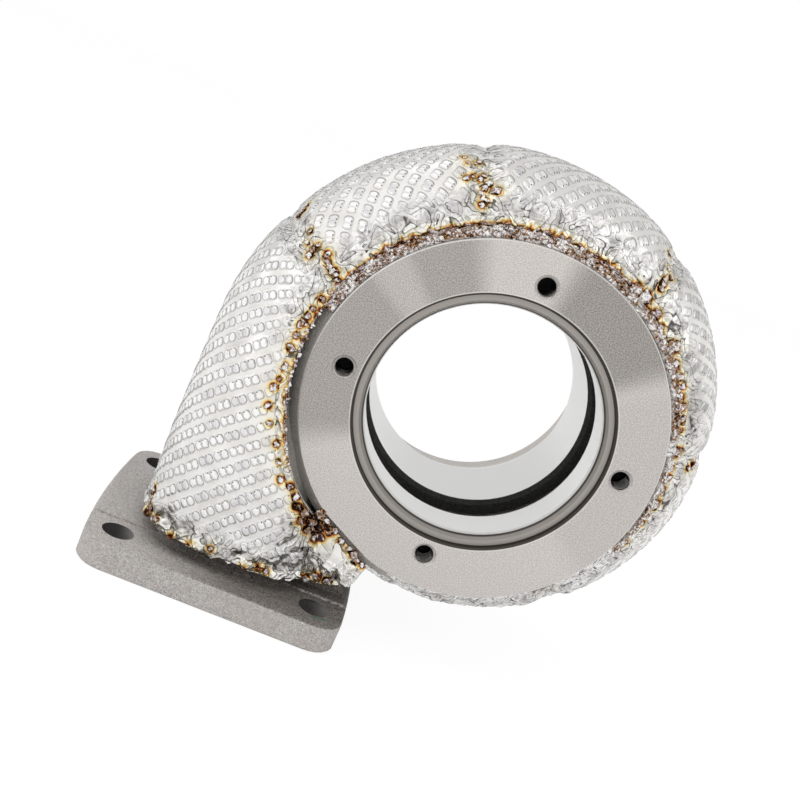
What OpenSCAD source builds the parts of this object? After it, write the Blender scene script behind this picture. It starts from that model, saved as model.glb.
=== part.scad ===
/* [Turbine axis] */
// Distance of the turbine axis to the right of the inlet flange's centre
axis_x = 82; // [76:1:90]
// Height of the turbine axis above the inlet gasket face
axis_z = 118; // [112:1:124]

/* [Inlet flange] */
// Length of the flange plate along X
plate_x = 124; // [120:1:130]
// Width of the flange plate along Y
plate_y = 124; // [120:1:130]
// Thickness of the flange plate under the bolt heads
plate_t = 13; // [10:0.5:15]
// Radius of the plate's corners
plate_r = 13; // [8:1:16]
// How far the plate's two ends bow out
plate_bow = 2; // [1:0.5:4]
// Height of the raised middle band above the spot faces
band_h = 1; // [0.5:0.5:2]
// Radius of the cast round along the plate's top edge
edge_round = 2.5; // [1:0.5:4]
// Bolt spacing along X
inlet_bolt_x = 92; // [90:1:96]
// Bolt spacing along Y
inlet_bolt_y = 92; // [90:1:96]
// Diameter of the four bolt holes
inlet_hole_d = 14.5; // [11:0.5:15]
// Half length of the inlet port along X
port_x = 28; // [24:1:30]
// Half width of the inlet port along Y
port_y = 34; // [30:1:36]

/* [Bearing side] */
// Outer diameter of the machined ring
ring_d = 160.8; // [158:0.2:164]
// Bolt circle of the four tapped holes
ring_pcd = 130; // [126:1:132]
// Tap drill of the tapped holes
tap_d = 8.5; // [6.8:0.1:10.2]
// Depth of the tapped holes
tap_depth = 15; // [12:1:16]
// Diameter of the countersinks
sink_d = 10.8; // [10.4:0.2:12]
// Diameter of the register that centres the bearing housing
register_d = 113.8; // [112:0.2:115]
// Depth of the register
register_depth = 2.8; // [2:0.2:4]
// Radius of the bore ahead of the wheel
bore_r = 51.7; // [50:0.1:52]

/* [Wheel passage] */
// Start of the throat slot behind the ring face
slot_front = 27.6; // [26:0.2:30]
// End of the throat slot behind the ring face
slot_rear = 45.6; // [42:0.2:48]
// Radius of the shroud at the wheel's inlet
shroud_r = 50.9; // [50:0.1:52]
// Smallest radius of the shroud, at the wheel's outlet
throat_r = 49; // [47:0.5:50]
// Depth of that smallest radius behind the ring face
throat_depth = 89; // [80:1:95]

/* [Outlet] */
// Depth of the outlet end behind the ring face
outlet_depth = 125; // [120:1:130]
// Radius of the outlet opening
outlet_r = 57; // [55:0.5:58]
// Outer radius of the outlet tube
tube_r = 61; // [60:0.5:63]
// Outer radius of the clamp flange
clamp_r = 69; // [66:0.5:72]

/* [Scroll] */
// Outer radius of the insulated scroll at its start
scroll_r = 124; // [122:1:126]
// Loss of that radius in each degree of sweep
scroll_fall = 0.095; // [0.08:0.005:0.1]
// Half width of the gas passage at its start
scroll_w = 30; // [28:1:31]
// Angle that the scroll sweeps
sweep_end = 288; // [280:2:292]

/* [Insulation] */
// Thickness of the cast wall
wall_t = 5.5; // [5:0.5:6]
// Thickness of the fibre mat
mat_t = 8; // [6:0.5:9]
// Height of the embossed foil
foil_t = 1.2; // [0.8:0.1:1.6]
// Height of the welded seam strips above the foil
strip_t = 1.4; // [0.8:0.2:2]
// How far each seam pulls the jacket in between two gores
seam_pull = 1.8; // [0:0.2:2.4]
// How far the jacket puffs out up the neck
neck_puff = 2; // [0:0.2:2.4]

/* [Hidden] */
// The ring face lies this far in front of the flange's centre line
face_y = -39.5;
// Clearance between a mat and its neighbours
gap = 0.3;
// Break on the plate's gasket edge
edge_break = 0.8;
// Layers, as distances outward from the gas passage
mat_in = wall_t + gap;
mat_out = wall_t + mat_t;
foil_in = mat_out + gap / 2;
foil_out = foil_in + foil_t;
strip_out = foil_out + strip_t;
// Inner edge of the scroll passage, just outside the throat slot's lips
passage_in = 57;
// Depth of the ring's turned rim, ahead of its conical skirt
skirt_depth = 2.5;
// Where the insulation meets the ring's collar and the outlet tube
collar_r = 84.5;
edge_front_r = collar_r + gap;
edge_rear_r = tube_r + gap;
// The gas passage and its middle at the sweep's two ends
passage_out = scroll_r - foil_out;
scroll_w_fall = 0.057;
mid_start = 6.5;
mid_fall = 0.022;
// Seams between the foil panels, in degrees of sweep
seams = [22, 67, 119, 169, 227, sweep_end];
// Width of the strips that close the foil's edges
edge_w = 5;
// Height of the foil's lower edge, and how far round the neck its panel reaches
foot_z = 19.5;
neck_wrap = 150;
// Heights at which the collar and the outlet tube leave the neck's corners
front_leave_z = 43;
rear_leave_z = 64;
// Points along a section, the section angle where its front and rear flanks start, and degrees between sections
arc_points = 14;
flank = 75;
step_q = 10;

function mix(a, b, t) = a + (b - a) * t;
function spow(v, e) = sign(v) * pow(abs(v), e);
function clamp1(v) = max(-1, min(1, v));
// Half sizes, middle and squareness of the passage at a sweep angle
function half_r(q) = (passage_out - scroll_fall * q - passage_in) / 2;
function half_y(q) = scroll_w - scroll_w_fall * q;
function mid_r(q) = passage_in + half_r(q);
function mid_y(q) = mid_start - mid_fall * q;
function square_q(q) = 2.5 - 0.0015 * q;
// The same for the neck, at a height above the gasket face
function rise(z) = max(0, z) / axis_z;
function neck_half_x(z) = mix(port_x, half_r(0), rise(z));
function neck_half_y(z) = mix(port_y, half_y(0), pow(rise(z), 1.5));
function neck_mid_x(z) = mix(0, axis_x - mid_r(0), rise(z));
function neck_mid_y(z) = mix(0, mid_y(0), pow(rise(z), 2));
function neck_square(z) = mix(3.3, square_q(0), rise(z));
// A point of the scroll's section at angle t, d outside the passage
function scroll_point(q, t, d) =
  let (
    n = square_q(q),
    r = mid_r(q) + (half_r(q) + d) * spow(cos(t), 2 / n),
    y = mid_y(q) + (half_y(q) + d) * spow(sin(t), 2 / n)
  ) [axis_x + r * cos(180 - q), y, axis_z + r * sin(180 - q)];
function neck_point(z, t, d) =
  let (n = neck_square(z))
  [
    neck_mid_x(z) - (neck_half_x(z) + d) * spow(cos(t), 2 / n),
    neck_mid_y(z) + (neck_half_y(z) + d) * spow(sin(t), 2 / n),
    z
  ];
// Section angle at which a layer meets the radius r about the turbine axis
function scroll_limit(q, d, r) =
  acos(clamp1(spow((r - mid_r(q)) / (half_r(q) + d), square_q(q) / 2)));
function neck_limit(z, d, r) =
  r <= axis_z - z ? neck_wrap :
  let (x = axis_x - sqrt(r * r - pow(axis_z - z, 2)))
  min(neck_wrap, acos(clamp1(spow((neck_mid_x(z) - x) / (neck_half_x(z) + d), neck_square(z) / 2))));
// How far the jacket stands off its even thickness. Stations are millimetres below the axis, as a minus
// number, on the neck, and then degrees of sweep
function fullness(station) = lookup(station, [
  [-98, 0], [-78, neck_puff * 0.6], [-58, neck_puff], [-6, neck_puff * 0.9], [8, neck_puff / 2],
  [20, 0], [30, -0.9], [165, -0.9], [185, -0.4], [215, -0.4], [240, -1.2]
]);
function seam_share(station, seam) = lookup(abs(station - seam), [[0, 1], [2.5, 0.6], [6, 0.1], [8, 0]]);
function swell(station) = fullness(station) - seam_pull * max([for (s = seams) seam_share(station, s)]);
// A layer's distance outside the passage, with that swell; the mat's inner face stays on the casting
function puffed(station, d) = d <= mat_in ? d : d + swell(station);
// Open rows of points from the collar, round the outside, to the outlet tube
function row_angles(a, b) =
  let (front = min(flank, 0.8 * a), rear = min(flank, 0.8 * b))
  concat(
    [for (i = [0:2]) mix(-a, -front, i / 3)],
    [for (i = [0:arc_points - 6]) mix(-front, rear, i / (arc_points - 6))],
    [for (i = [1:3]) mix(rear, b, i / 3)]
  );
function scroll_row(q, layer, inset = 0) =
  let (
    d = puffed(q, layer),
    a = scroll_limit(q, d, edge_front_r + inset),
    b = scroll_limit(q, d, edge_rear_r + inset)
  ) [for (t = row_angles(a, b)) scroll_point(q, t, d)];
function neck_row(z, layer) =
  let (d = puffed(z - axis_z, layer), a = neck_limit(z, d, edge_front_r), b = neck_limit(z, d, edge_rear_r))
  [for (t = row_angles(a, b)) neck_point(z, t, d)];
// Short rows along one edge of the foil, r from the axis; side is -1 in front and 1 behind
function scroll_edge(q, layer, r, side) =
  let (d = puffed(q, layer))
  [for (i = [0:2]) scroll_point(q, side * scroll_limit(q, d, r + edge_w * i / 2), d)];
function neck_edge(z, layer, r, side) =
  let (d = puffed(z - axis_z, layer))
  [for (i = [0:2]) neck_point(z, side * neck_limit(z, d, r + edge_w * i / 2), d)];
// Row down the neck's corner, round its right-hand wall and up the rear corner
function gusset_row(layer) =
  [for (i = [0:arc_points])
    let (
      s = 2 * i / arc_points - 1,
      side = s < 0 ? -1 : 1,
      up = max(0, 2 * abs(s) - 1),
      top = side < 0 ? front_leave_z : rear_leave_z,
      turn = min(1, 2 * abs(s)),
      z = mix(foot_z, top, up)
    ) neck_point(z, side * mix(180, neck_wrap, turn), puffed(z - axis_z, layer))];
// Row between the scroll's end and the neck, sagging towards the corner by a share of the gap
function between(a, b, t, sag) =
  [for (i = [0:arc_points])
    let (inward = [axis_x - 40, 0, axis_z - 30] / norm([axis_x - 40, 0, axis_z - 30]))
    a[i] * (1 - t) + b[i] * t + inward * sag * sin(180 * t)];
// Sweep angles from a to b in even steps, and the same with closer ones beside a seam at b, or at both ends
function sweep_steps(a, b) =
  let (n = max(1, round((b - a) / step_q)))
  [for (i = [0:n]) mix(a, b, i / n)];
function steps_to_seam(a, b) = concat(sweep_steps(a, b - 7), [b - 2.5, b]);
function steps_between_seams(a, b) = concat([a, a + 2.5], steps_to_seam(a + 7, b));

// Triangles between m rings of n points each
function walls(n, m) =
  [for (k = [0:m - 2]) for (i = [0:n - 1]) each
    let (j = (i + 1) % n)
    [[k * n + i, (k + 1) * n + j, (k + 1) * n + i], [k * n + i, k * n + j, (k + 1) * n + j]]];

// Closed solid through closed rings, with flat ends
module loft(rings) {
  n = len(rings[0]);
  m = len(rings);
  polyhedron(
    points = [for (r = rings) each r],
    faces = concat(
      [[for (i = [n - 1:-1:0]) i]],
      walls(n, m),
      [[for (i = [0:n - 1]) (m - 1) * n + i]]
    ),
    convexity = 8
  );
}

// Curved sheet between an outer and an inner set of rows
module sheet(outer, inner) {
  w = len(outer[0]);
  n = 2 * w;
  m = len(outer);
  rings = [for (k = [0:m - 1]) concat(outer[k], [for (i = [w - 1:-1:0]) inner[k][i]])];
  polyhedron(
    points = [for (r = rings) each r],
    faces = concat(
      [for (i = [0:w - 2]) [n - 1 - i, n - 2 - i, i + 1, i]],
      walls(n, m),
      [for (i = [0:w - 2]) [for (v = [i, i + 1, n - 2 - i, n - 1 - i]) (m - 1) * n + v]]
    ),
    convexity = 8
  );
}

// Something drawn about the turbine axis, with its Z pointing into the housing from the ring face
module about_axis() {
  translate([axis_x, face_y, axis_z]) rotate([-90, 0, 0]) children();
}

module scroll_layer(a, b, d_in, d_out) {
  q = steps_between_seams(a, b);
  sheet([for (v = q) scroll_row(v, d_out)], [for (v = q) scroll_row(v, d_in)]);
}

module neck_layer(d_in, d_out) {
  heights = [foot_z, 31, front_leave_z, 46, 50, 56, rear_leave_z, 69, 76, 88, 103];
  q = steps_to_seam(0, seams[0]);
  sheet(
    concat([for (z = heights) neck_row(z, d_out)], [for (v = q) scroll_row(v, d_out)]),
    concat([for (z = heights) neck_row(z, d_in)], [for (v = q) scroll_row(v, d_in)])
  );
}

module gusset_layer(d_in, d_out) {
  steps = [0, 0.33, 0.67, 1];
  sheet(
    [for (t = steps) between(scroll_row(sweep_end, d_out), gusset_row(d_out), t, 3)],
    [for (t = steps) between(scroll_row(sweep_end, d_in), gusset_row(d_in), t, 3)]
  );
}

// Outline of the inlet plate at a height, shrunk by inset: round corners and slightly bowed ends
function plate_ring(inset, z) =
  let (x = plate_x / 2 - plate_bow - plate_r, y = plate_y / 2 - plate_r, r = plate_r - inset)
  [for (s = [1, -1]) each concat(
    [for (u = [-0.75:0.25:0.75]) [s * (plate_x / 2 - inset - plate_bow * u * u), s * u * y, z]],
    [for (a = [0:15:90]) [s * (x + r * cos(a)), s * (y + r * sin(a)), z]],
    [for (a = [90:15:180]) [s * (r * cos(a) - x), s * (y + r * sin(a)), z]]
  )];

// A plate of that outline, with a cast round along its top edge and a small break below
module cast_plate(h) {
  round_angles = [90, 60, 30, 0];
  loft(concat(
    [for (a = round_angles) plate_ring(edge_round * (1 - cos(a)), h - edge_round * (1 - sin(a)))],
    [plate_ring(0, edge_break), plate_ring(edge_break, 0)]
  ));
}

// Inlet plate: the near bolt row is milled to a step, and the far half to a shallower one
module inlet_plate() {
  near_step = -34;
  far_step = 5;
  difference() {
    cast_plate(plate_t + band_h);
    translate([-plate_x, -plate_y, plate_t]) cube([2 * plate_x, plate_y + near_step, 2 * band_h]);
    translate([-plate_x, far_step, plate_t + band_h / 2]) cube([2 * plate_x, plate_y, 2 * band_h]);
  }
}

// Low web that ties the plate's right end to the scroll's underside
module foot_web() {
  web_y = 26;
  r = 9;
  translate([0, web_y, plate_t - 1]) rotate([90, 0, 0]) linear_extrude(2 * web_y) difference() {
    square([plate_x / 2 - 3, r]);
    translate([plate_x / 2 - 3, r]) circle(r = r - 3, $fn = 48);
  }
}

// Outside of the cast scroll and neck, flared onto the plate by a fillet; its last part runs into the neck
module scroll_outside() {
  fillet_r = 9;
  turns = [for (t = [0:15:345]) t];
  function flare(i) = wall_t + fillet_r * (1 - sin(18 * i + 18));
  function flare_z(i) = plate_t - 1 + 0.9 * fillet_r * (1 - cos(18 * i + 18));
  loft(concat(
    [for (i = [0:4]) [for (t = turns) neck_point(flare_z(i), t, flare(i))]],
    [for (z = [34, 52, 70, 94]) [for (t = turns) neck_point(z, t, wall_t)]],
    [for (q = sweep_steps(0, 180)) [for (t = turns) scroll_point(q, t, wall_t)]]
  ));
  loft([for (q = sweep_steps(177, sweep_end + 14)) [for (t = turns) scroll_point(q, t, wall_t)]]);
}

// Gas passage from the port to the scroll's end
module scroll_inside() {
  loft(concat(
    [for (z = [-1, 20, 44, 68, 94]) [for (t = [0:18:342]) neck_point(z, t, 0)]],
    [for (q = sweep_steps(0, sweep_end)) [for (t = [0:18:342]) scroll_point(q, t, 0)]]
  ));
}

// Turned core: ring, collar, shroud tube and clamp flange
module core() {
  ring_r = ring_d / 2;
  collar_depth = 6.5;
  collar_end = 30;
  clamp_front = 108;
  clamp_rim = 112;
  clamp_rear = 117;
  rotate_extrude($fn = 180) polygon([
    [40, 0], [ring_r - 0.6, 0], [ring_r, 0.6], [ring_r, skirt_depth],
    [collar_r, collar_depth], [collar_r, collar_end],
    [tube_r, collar_end + 8], [tube_r, clamp_front],
    [clamp_r, clamp_rim], [clamp_r, clamp_rear - 1.5], [clamp_r - 3, clamp_rear],
    [tube_r, clamp_rear], [tube_r, outlet_depth], [40, outlet_depth]
  ]);
}

// Everything machined from the core: register, ledge, bore, throat slot, shroud and outlet
module core_bore() {
  e = 1;
  reg_r = register_d / 2;
  ledge_r = 54;
  ledge_depth = 5.8;
  lip = 2;
  parallel = 8;
  rotate_extrude($fn = 180) polygon([
    [0, -e], [reg_r + 0.5 + e, -e], [reg_r, 0.5], [reg_r, register_depth],
    [ledge_r, register_depth], [bore_r + 0.4, ledge_depth], [bore_r, ledge_depth + 1], [bore_r, slot_front],
    [passage_in + 3, slot_front], [passage_in + 3, slot_rear], [shroud_r + lip, slot_rear],
    [shroud_r, slot_rear + lip], [throat_r, throat_depth],
    [outlet_r, outlet_depth - parallel], [outlet_r, outlet_depth + e], [0, outlet_depth + e]
  ]);
}

// Shallow flat milled on the ring's rim, towards the inlet plate
module rim_flat() {
  turn = 117;
  rim_cut = 1.8;
  half_w = 20;
  rotate(turn) translate([ring_d / 2 - rim_cut, -half_w, -1]) cube([10, 2 * half_w, skirt_depth + 3]);
}

module tapped_holes() {
  for (k = [0:3]) rotate(90 * k) translate([ring_pcd / 2, 0, 0]) {
    translate([0, 0, -1]) cylinder(d = tap_d, h = tap_depth + 1, $fn = 48);
    rotate_extrude($fn = 48) polygon([[0, -0.1], [sink_d / 2 + 0.1, -0.1], [tap_d / 2 - 0.1, 1.25], [0, 1.25]]);
  }
}

module volute_casting() {
  color("dimgray") difference() {
    union() {
      inlet_plate();
      foot_web();
      scroll_outside();
      about_axis() core();
    }
    scroll_inside();
    about_axis() core_bore();
    about_axis() tapped_holes();
    about_axis() rim_flat();
    for (sx = [-1, 1], sy = [-1, 1])
      translate([sx * inlet_bolt_x / 2, sy * inlet_bolt_y / 2, -1])
        cylinder(d = inlet_hole_d, h = plate_t + band_h + 30, $fn = 64);
  }
}

module neck_mat() { color("linen") neck_layer(mat_in, mat_out); }
module scroll_mat(i) { color("linen") scroll_layer(seams[i - 1] + 0.2, seams[i] - 0.2, mat_in, mat_out); }
module gusset_mat() { color("linen") gusset_layer(mat_in, mat_out); }
module neck_foil() { color("gainsboro") neck_layer(foil_in, foil_out); }
module scroll_foil(i) { color("silver") scroll_layer(seams[i - 1] + 0.1, seams[i] - 0.1, foil_in, foil_out); }
module gusset_foil() { color("gainsboro") gusset_layer(foil_in, foil_out); }

// Lapped and spot-welded strip over the seam between two panels
module seam_strip(i) {
  q = [seams[i - 1] - 1.3, seams[i - 1], seams[i - 1] + 1.3];
  inset = edge_w + gap;
  color("goldenrod")
    sheet([for (v = q) scroll_row(v, strip_out, inset)], [for (v = q) scroll_row(v, foil_out, inset)]);
}

// Strip along the foil's edge: on the neck from low_z up, and then round the scroll
module edge_strip(low_z, r, side) {
  heights = [for (i = [0:5]) mix(low_z, axis_z, i / 6)];
  q = concat(steps_to_seam(0, seams[0]), [for (i = [1:5]) each steps_past(seams[i - 1], seams[i])]);
  function steps_past(a, b) = let (all = steps_between_seams(a, b)) [for (k = [1:len(all) - 1]) all[k]];
  function rows(d) =
    concat([for (z = heights) neck_edge(z, d, r, side)], [for (v = q) scroll_edge(v, d, r, side)]);
  color("peru") sheet(rows(side < 0 ? strip_out : foil_out), rows(side < 0 ? foil_out : strip_out));
}

// Band round the foil's lower edge on the neck
module neck_foot_strip() {
  angles = [for (i = [0:28]) mix(-neck_wrap, neck_wrap, i / 28)];
  heights = [foot_z, foot_z + edge_w - 1];
  function rows(layer) = [for (z = heights) [for (t = angles) neck_point(z, t, puffed(z - axis_z, layer))]];
  color("peru") sheet(rows(strip_out), rows(foil_out));
}

// Welded seams where the gusset meets the neck panel's front and rear corners
module gusset_strip() {
  low = foot_z + edge_w - 1 + gap;
  width = 14;
  function rows(layer, top, a) =
    [for (i = [0:3]) let (z = mix(low, top, i / 3))
      [for (k = [0:2]) neck_point(z, a + width * k / 2, puffed(z - axis_z, layer))]];
  module corner(top, a) { sheet(rows(strip_out, top, a), rows(foil_out, top, a)); }
  color("saddlebrown") {
    corner(front_leave_z - 4, -neck_wrap);
    corner(rear_leave_z - 4, neck_wrap - width);
  }
}

module ring_edge_strip() { edge_strip(front_leave_z + 2, edge_front_r, -1); }
module outlet_edge_strip() { edge_strip(rear_leave_z + 2, edge_rear_r, 1); }

volute_casting();
neck_mat();
scroll_mat(1);  // scroll_mat_1
scroll_mat(2);  // scroll_mat_2
scroll_mat(3);  // scroll_mat_3
scroll_mat(4);  // scroll_mat_4
scroll_mat(5);  // scroll_mat_5
gusset_mat();
neck_foil();
scroll_foil(1);  // scroll_foil_1
scroll_foil(2);  // scroll_foil_2
scroll_foil(3);  // scroll_foil_3
scroll_foil(4);  // scroll_foil_4
scroll_foil(5);  // scroll_foil_5
gusset_foil();
seam_strip(1);  // seam_strip_1
seam_strip(2);  // seam_strip_2
seam_strip(3);  // seam_strip_3
seam_strip(4);  // seam_strip_4
seam_strip(5);  // seam_strip_5
seam_strip(6);  // seam_strip_6
gusset_strip();
ring_edge_strip();
outlet_edge_strip();
neck_foot_strip();
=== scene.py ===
"""Looks of a turbine housing in an embossed foil heat jacket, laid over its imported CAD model."""

import math

import bmesh
import bpy
import numpy as np
from mathutils import Matrix, Vector


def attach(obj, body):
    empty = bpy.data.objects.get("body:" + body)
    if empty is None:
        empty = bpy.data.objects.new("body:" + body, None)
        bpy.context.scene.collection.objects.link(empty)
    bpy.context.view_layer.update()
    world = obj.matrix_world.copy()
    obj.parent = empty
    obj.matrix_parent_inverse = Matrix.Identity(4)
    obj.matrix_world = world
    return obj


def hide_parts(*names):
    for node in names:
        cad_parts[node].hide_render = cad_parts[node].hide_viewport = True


bl_info = {
    "name": "Foil jacket on a turbine housing",
    "version": (1, 0, 0),
    "blender": (4, 5, 0),
    "location": "View3D > Sidebar > Housing",
    "description": "Embossed foil, welds and cast finish for a turbine housing",
    "category": "Object",
}

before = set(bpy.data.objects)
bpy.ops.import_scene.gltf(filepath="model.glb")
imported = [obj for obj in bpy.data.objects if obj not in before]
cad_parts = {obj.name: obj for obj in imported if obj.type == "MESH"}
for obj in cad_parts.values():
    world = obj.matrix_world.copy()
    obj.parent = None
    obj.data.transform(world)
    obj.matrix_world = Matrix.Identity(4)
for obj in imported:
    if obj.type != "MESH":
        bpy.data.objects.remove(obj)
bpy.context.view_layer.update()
MM = 0.001
ROOT = "root"

# Places of the CAD model, in millimetres and degrees: turbine axis, ring face, and the passage's section rule
AXIS_X, AXIS_Z, FACE_Y = 82.0, 118.0, -39.5
PORT_X, PORT_Y = 28.0, 34.0
PASSAGE_IN, PASSAGE_OUT, SCROLL_FALL = 57.0, 109.15, 0.095
SCROLL_W, SCROLL_W_FALL = 30.0, 0.057
MID_START, MID_FALL = 6.5, 0.022
SWEEP_END = 288.0
SEAMS = (22.0, 67.0, 119.0, 169.0, 227.0, SWEEP_END)
EDGE_FRONT, EDGE_REAR = 84.8, 61.3
FOOT_Z, NECK_WRAP = 19.5, 150.0
FRONT_LEAVE, REAR_LEAVE = 43.0, 64.0
# Squareness of the section at the port, at the neck's top, and what it loses a degree round the scroll
PORT_SQUARE, NECK_SQUARE, SQUARE_FALL = 3.3, 2.5, 0.0015
# The foil's lands outside the passage, the dressed foil's thickness, and how the seams pull it in: depth and reach
FOIL_LAND, SHEET, SEAM_PULL, SEAM_REACH = 14.0, 1.3, 1.7, 6.5
# Millimetres of path for each radian of sweep: the path runs up the neck, then round the scroll
PATH_R = 112.0
# Tapped holes of the ring: their circle, sweep angles, bore radius, depth with the cone, and thread pitch
HOLE_CIRCLE, HOLE_SWEEPS, HOLE_R, HOLE_DEPTH, THREAD_PITCH = 65.0, (0.0, 90.0, 180.0, 270.0), 4.25, 16.6, 1.5
# Bolt holes of the inlet plate: half the distance between their centres, their radius, and the step behind a row
BOLT_AT, BOLT_R, STEP_Y = 46.0, 7.25, -34.0
# Seeds of the panels count up from the neck's; the gore on the far right has painted shade on its pillows, the
# darkest
NECK_SEED, FAR_SEED = 1, 4


def mix(a, b, t):
    """Value between a and b at share t."""
    return a + (b - a) * t


def smooth(x):
    """Soft step from 0 to 1 as x goes from 0 to 1."""
    x = np.clip(x, 0.0, 1.0)
    return x * x * (3.0 - 2.0 * x)


def spow(v, e):
    """Power that keeps the sign."""
    return np.sign(v) * np.abs(v) ** e


def path_of(sweep):
    """Path position, in millimetres, of a sweep angle."""
    return AXIS_Z + np.radians(sweep) * PATH_R


def sections(u):
    """Half sizes, middle and squareness of the passage at path positions, and the sweep angle there."""
    q = np.degrees(np.maximum(u - AXIS_Z, 0.0) / PATH_R)
    half_r = (PASSAGE_OUT - SCROLL_FALL * q - PASSAGE_IN) / 2
    mid_r = PASSAGE_IN + half_r
    half_y = SCROLL_W - SCROLL_W_FALL * q
    mid_y = MID_START - MID_FALL * q
    square = NECK_SQUARE - SQUARE_FALL * q
    rise = np.clip(u, 0.0, AXIS_Z) / AXIS_Z
    on_neck = u < AXIS_Z
    start_r = (PASSAGE_OUT - PASSAGE_IN) / 2
    half_x = np.where(on_neck, mix(PORT_X, start_r, rise), half_r)
    mid_x = np.where(on_neck, mix(0.0, AXIS_X - PASSAGE_IN - start_r, rise), AXIS_X - mid_r)
    half_y = np.where(on_neck, mix(PORT_Y, SCROLL_W, rise ** 1.5), half_y)
    mid_y = np.where(on_neck, MID_START * rise ** 2, mid_y)
    square = np.where(on_neck, mix(PORT_SQUARE, NECK_SQUARE, rise), square)
    return half_x, mid_x, half_y, mid_y, square, q, on_neck


def jacket_point(u, t, d):
    """Points d millimetres outside the passage, at path position u and section angle t."""
    half_x, mid_x, half_y, mid_y, square, q, on_neck = sections(u)
    t = np.radians(t)
    x = mid_x - (half_x + d) * spow(np.cos(t), 2 / square)
    y = mid_y + (half_y + d) * spow(np.sin(t), 2 / square)
    r = AXIS_X - x
    turn = np.radians(180.0 - q)
    x = np.where(on_neck, x, AXIS_X + r * np.cos(turn))
    z = np.where(on_neck, u, AXIS_Z + r * np.sin(turn))
    return np.stack(np.broadcast_arrays(x, y, z), -1)


def limit(u, d, r):
    """Section angle at which a layer meets the radius r about the turbine axis."""
    half_x, mid_x, _, _, square, _, on_neck = sections(u)
    below = np.maximum(r * r - (AXIS_Z - u) ** 2, 0.0)
    x = np.where(on_neck, AXIS_X - np.sqrt(below), AXIS_X - r)
    t = np.degrees(np.arccos(np.clip(spow((mid_x - x) / (half_x + d), square / 2), -1.0, 1.0)))
    return np.where(on_neck, np.where(r <= AXIS_Z - u, NECK_WRAP, np.minimum(t, NECK_WRAP)), t)


def jacket_depth(u):
    """How far the foil's lands stand outside the passage: puffed on the neck, pulled in at each seam."""
    u = np.asarray(u, float)
    knots = [FOOT_Z, 40.0, 60.0, 80.0, 112.0, path_of(7.0), path_of(18.0), path_of(30.0),
             path_of(170.0), path_of(185.0), path_of(215.0), path_of(240.0)]
    tops = [0.0, 1.2, 2.1, 2.1, 1.8, 1.1, 0.3, -0.9, -0.9, -0.4, -0.4, -1.2]
    d = FOIL_LAND + sum(np.interp(u + k, knots, tops) for k in (-5.0, -2.5, 0.0, 2.5, 5.0)) / 5.0
    for q in SEAMS:
        d = d - SEAM_PULL * np.exp(-(((u - path_of(q)) / SEAM_REACH) ** 2))
    return d


def arc_table(u):
    """Section angles from the front edge to the rear one at each path position, and arc lengths from the crown."""
    d = jacket_depth(u)
    front, rear = limit(u, d, EDGE_FRONT), limit(u, d, EDGE_REAR)
    t = -front[:, None] + (front + rear)[:, None] * np.linspace(0.0, 1.0, 241)
    p = jacket_point(u[:, None], t, d[:, None])
    step = np.linalg.norm(np.diff(p, axis=1), axis=2)
    run = np.concatenate([np.zeros((len(u), 1)), np.cumsum(step, axis=1)], axis=1)
    crown = np.array([np.interp(0.0, a, b) for a, b in zip(t, run)])
    return t, run - crown[:, None]


def sheet_rows(u, count):
    """Even rows across the jacket: section angles, arc lengths and base points."""
    t, v = arc_table(u)
    share = np.linspace(0.0, 1.0, count)
    reach = np.exp(-((u[:, None] - u[None]) / 14.0) ** 2)
    reach /= reach.sum(axis=1, keepdims=True)
    low, high = reach @ v[:, :1], reach @ v[:, -1:]
    want = mix(low, high, share) + (v[:, :1] - low) * (1.0 - share) ** 4 + (v[:, -1:] - high) * share ** 4
    angle = np.stack([np.interp(w, a, b) for w, a, b in zip(want, v, t)])
    return angle, want, jacket_point(u[:, None], angle, jacket_depth(u)[:, None])


def grid_normals(p):
    """Unit normals of a grid of points."""
    along, across = np.gradient(p, axis=0), np.gradient(p, axis=1)
    n = np.cross(along, across)
    n /= np.maximum(np.linalg.norm(n, axis=2, keepdims=True), 1e-9)
    return n


def hashed(i, j, seed):
    """Fixed value from 0 to 1 for each whole cell."""
    h = (i * 374761393 + j * 668265263 + seed * 974634777) & 0xFFFFFFFF
    h = ((h ^ (h >> 13)) * 1274126177) & 0xFFFFFFFF
    return (h ^ (h >> 16)) / 0xFFFFFFFF


def noise(x, y, seed):
    """Smooth noise from -1 to 1, one feature a unit."""
    i, j = np.floor(x).astype(np.int64), np.floor(y).astype(np.int64)
    fx, fy = smooth(x - i), smooth(y - j)
    low = mix(hashed(i, j, seed), hashed(i + 1, j, seed), fx)
    high = mix(hashed(i, j + 1, seed), hashed(i + 1, j + 1, seed), fx)
    return 2.0 * mix(low, high, fy) - 1.0


def folds(x, y, seed):
    """Sharp ridges between smooth hollows, as in crumpled foil: 1 on a ridge, -1 in a hollow."""
    bend = 0.6 * noise(x * 0.7 + 9.1, y * 0.7, seed + 7)
    a = 1.0 - 2.0 * np.abs(noise(x + bend, y - bend, seed))
    b = 1.0 - 2.0 * np.abs(noise(2.1 * x, 2.1 * y + bend, seed + 1))
    return 0.7 * a + 0.3 * b


# Embossing: pitch along a pillow's length and across it, and the size of its two lobes
PITCH_LONG, PITCH_SHORT = 7.26, 6.98
LOBE_R = 1.9
# Skew of the pattern's rows, and where the first pillow lies on the neck
SKEW_LONG, SKEW_SHORT, START_LONG, START_SHORT = 0.05, 0.04, 0.44, 1.89
# Half the distance between a pillow's two lobes, on the neck and on the gores
NECK_GAP, GORE_GAP = 1.2, 0.72


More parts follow.
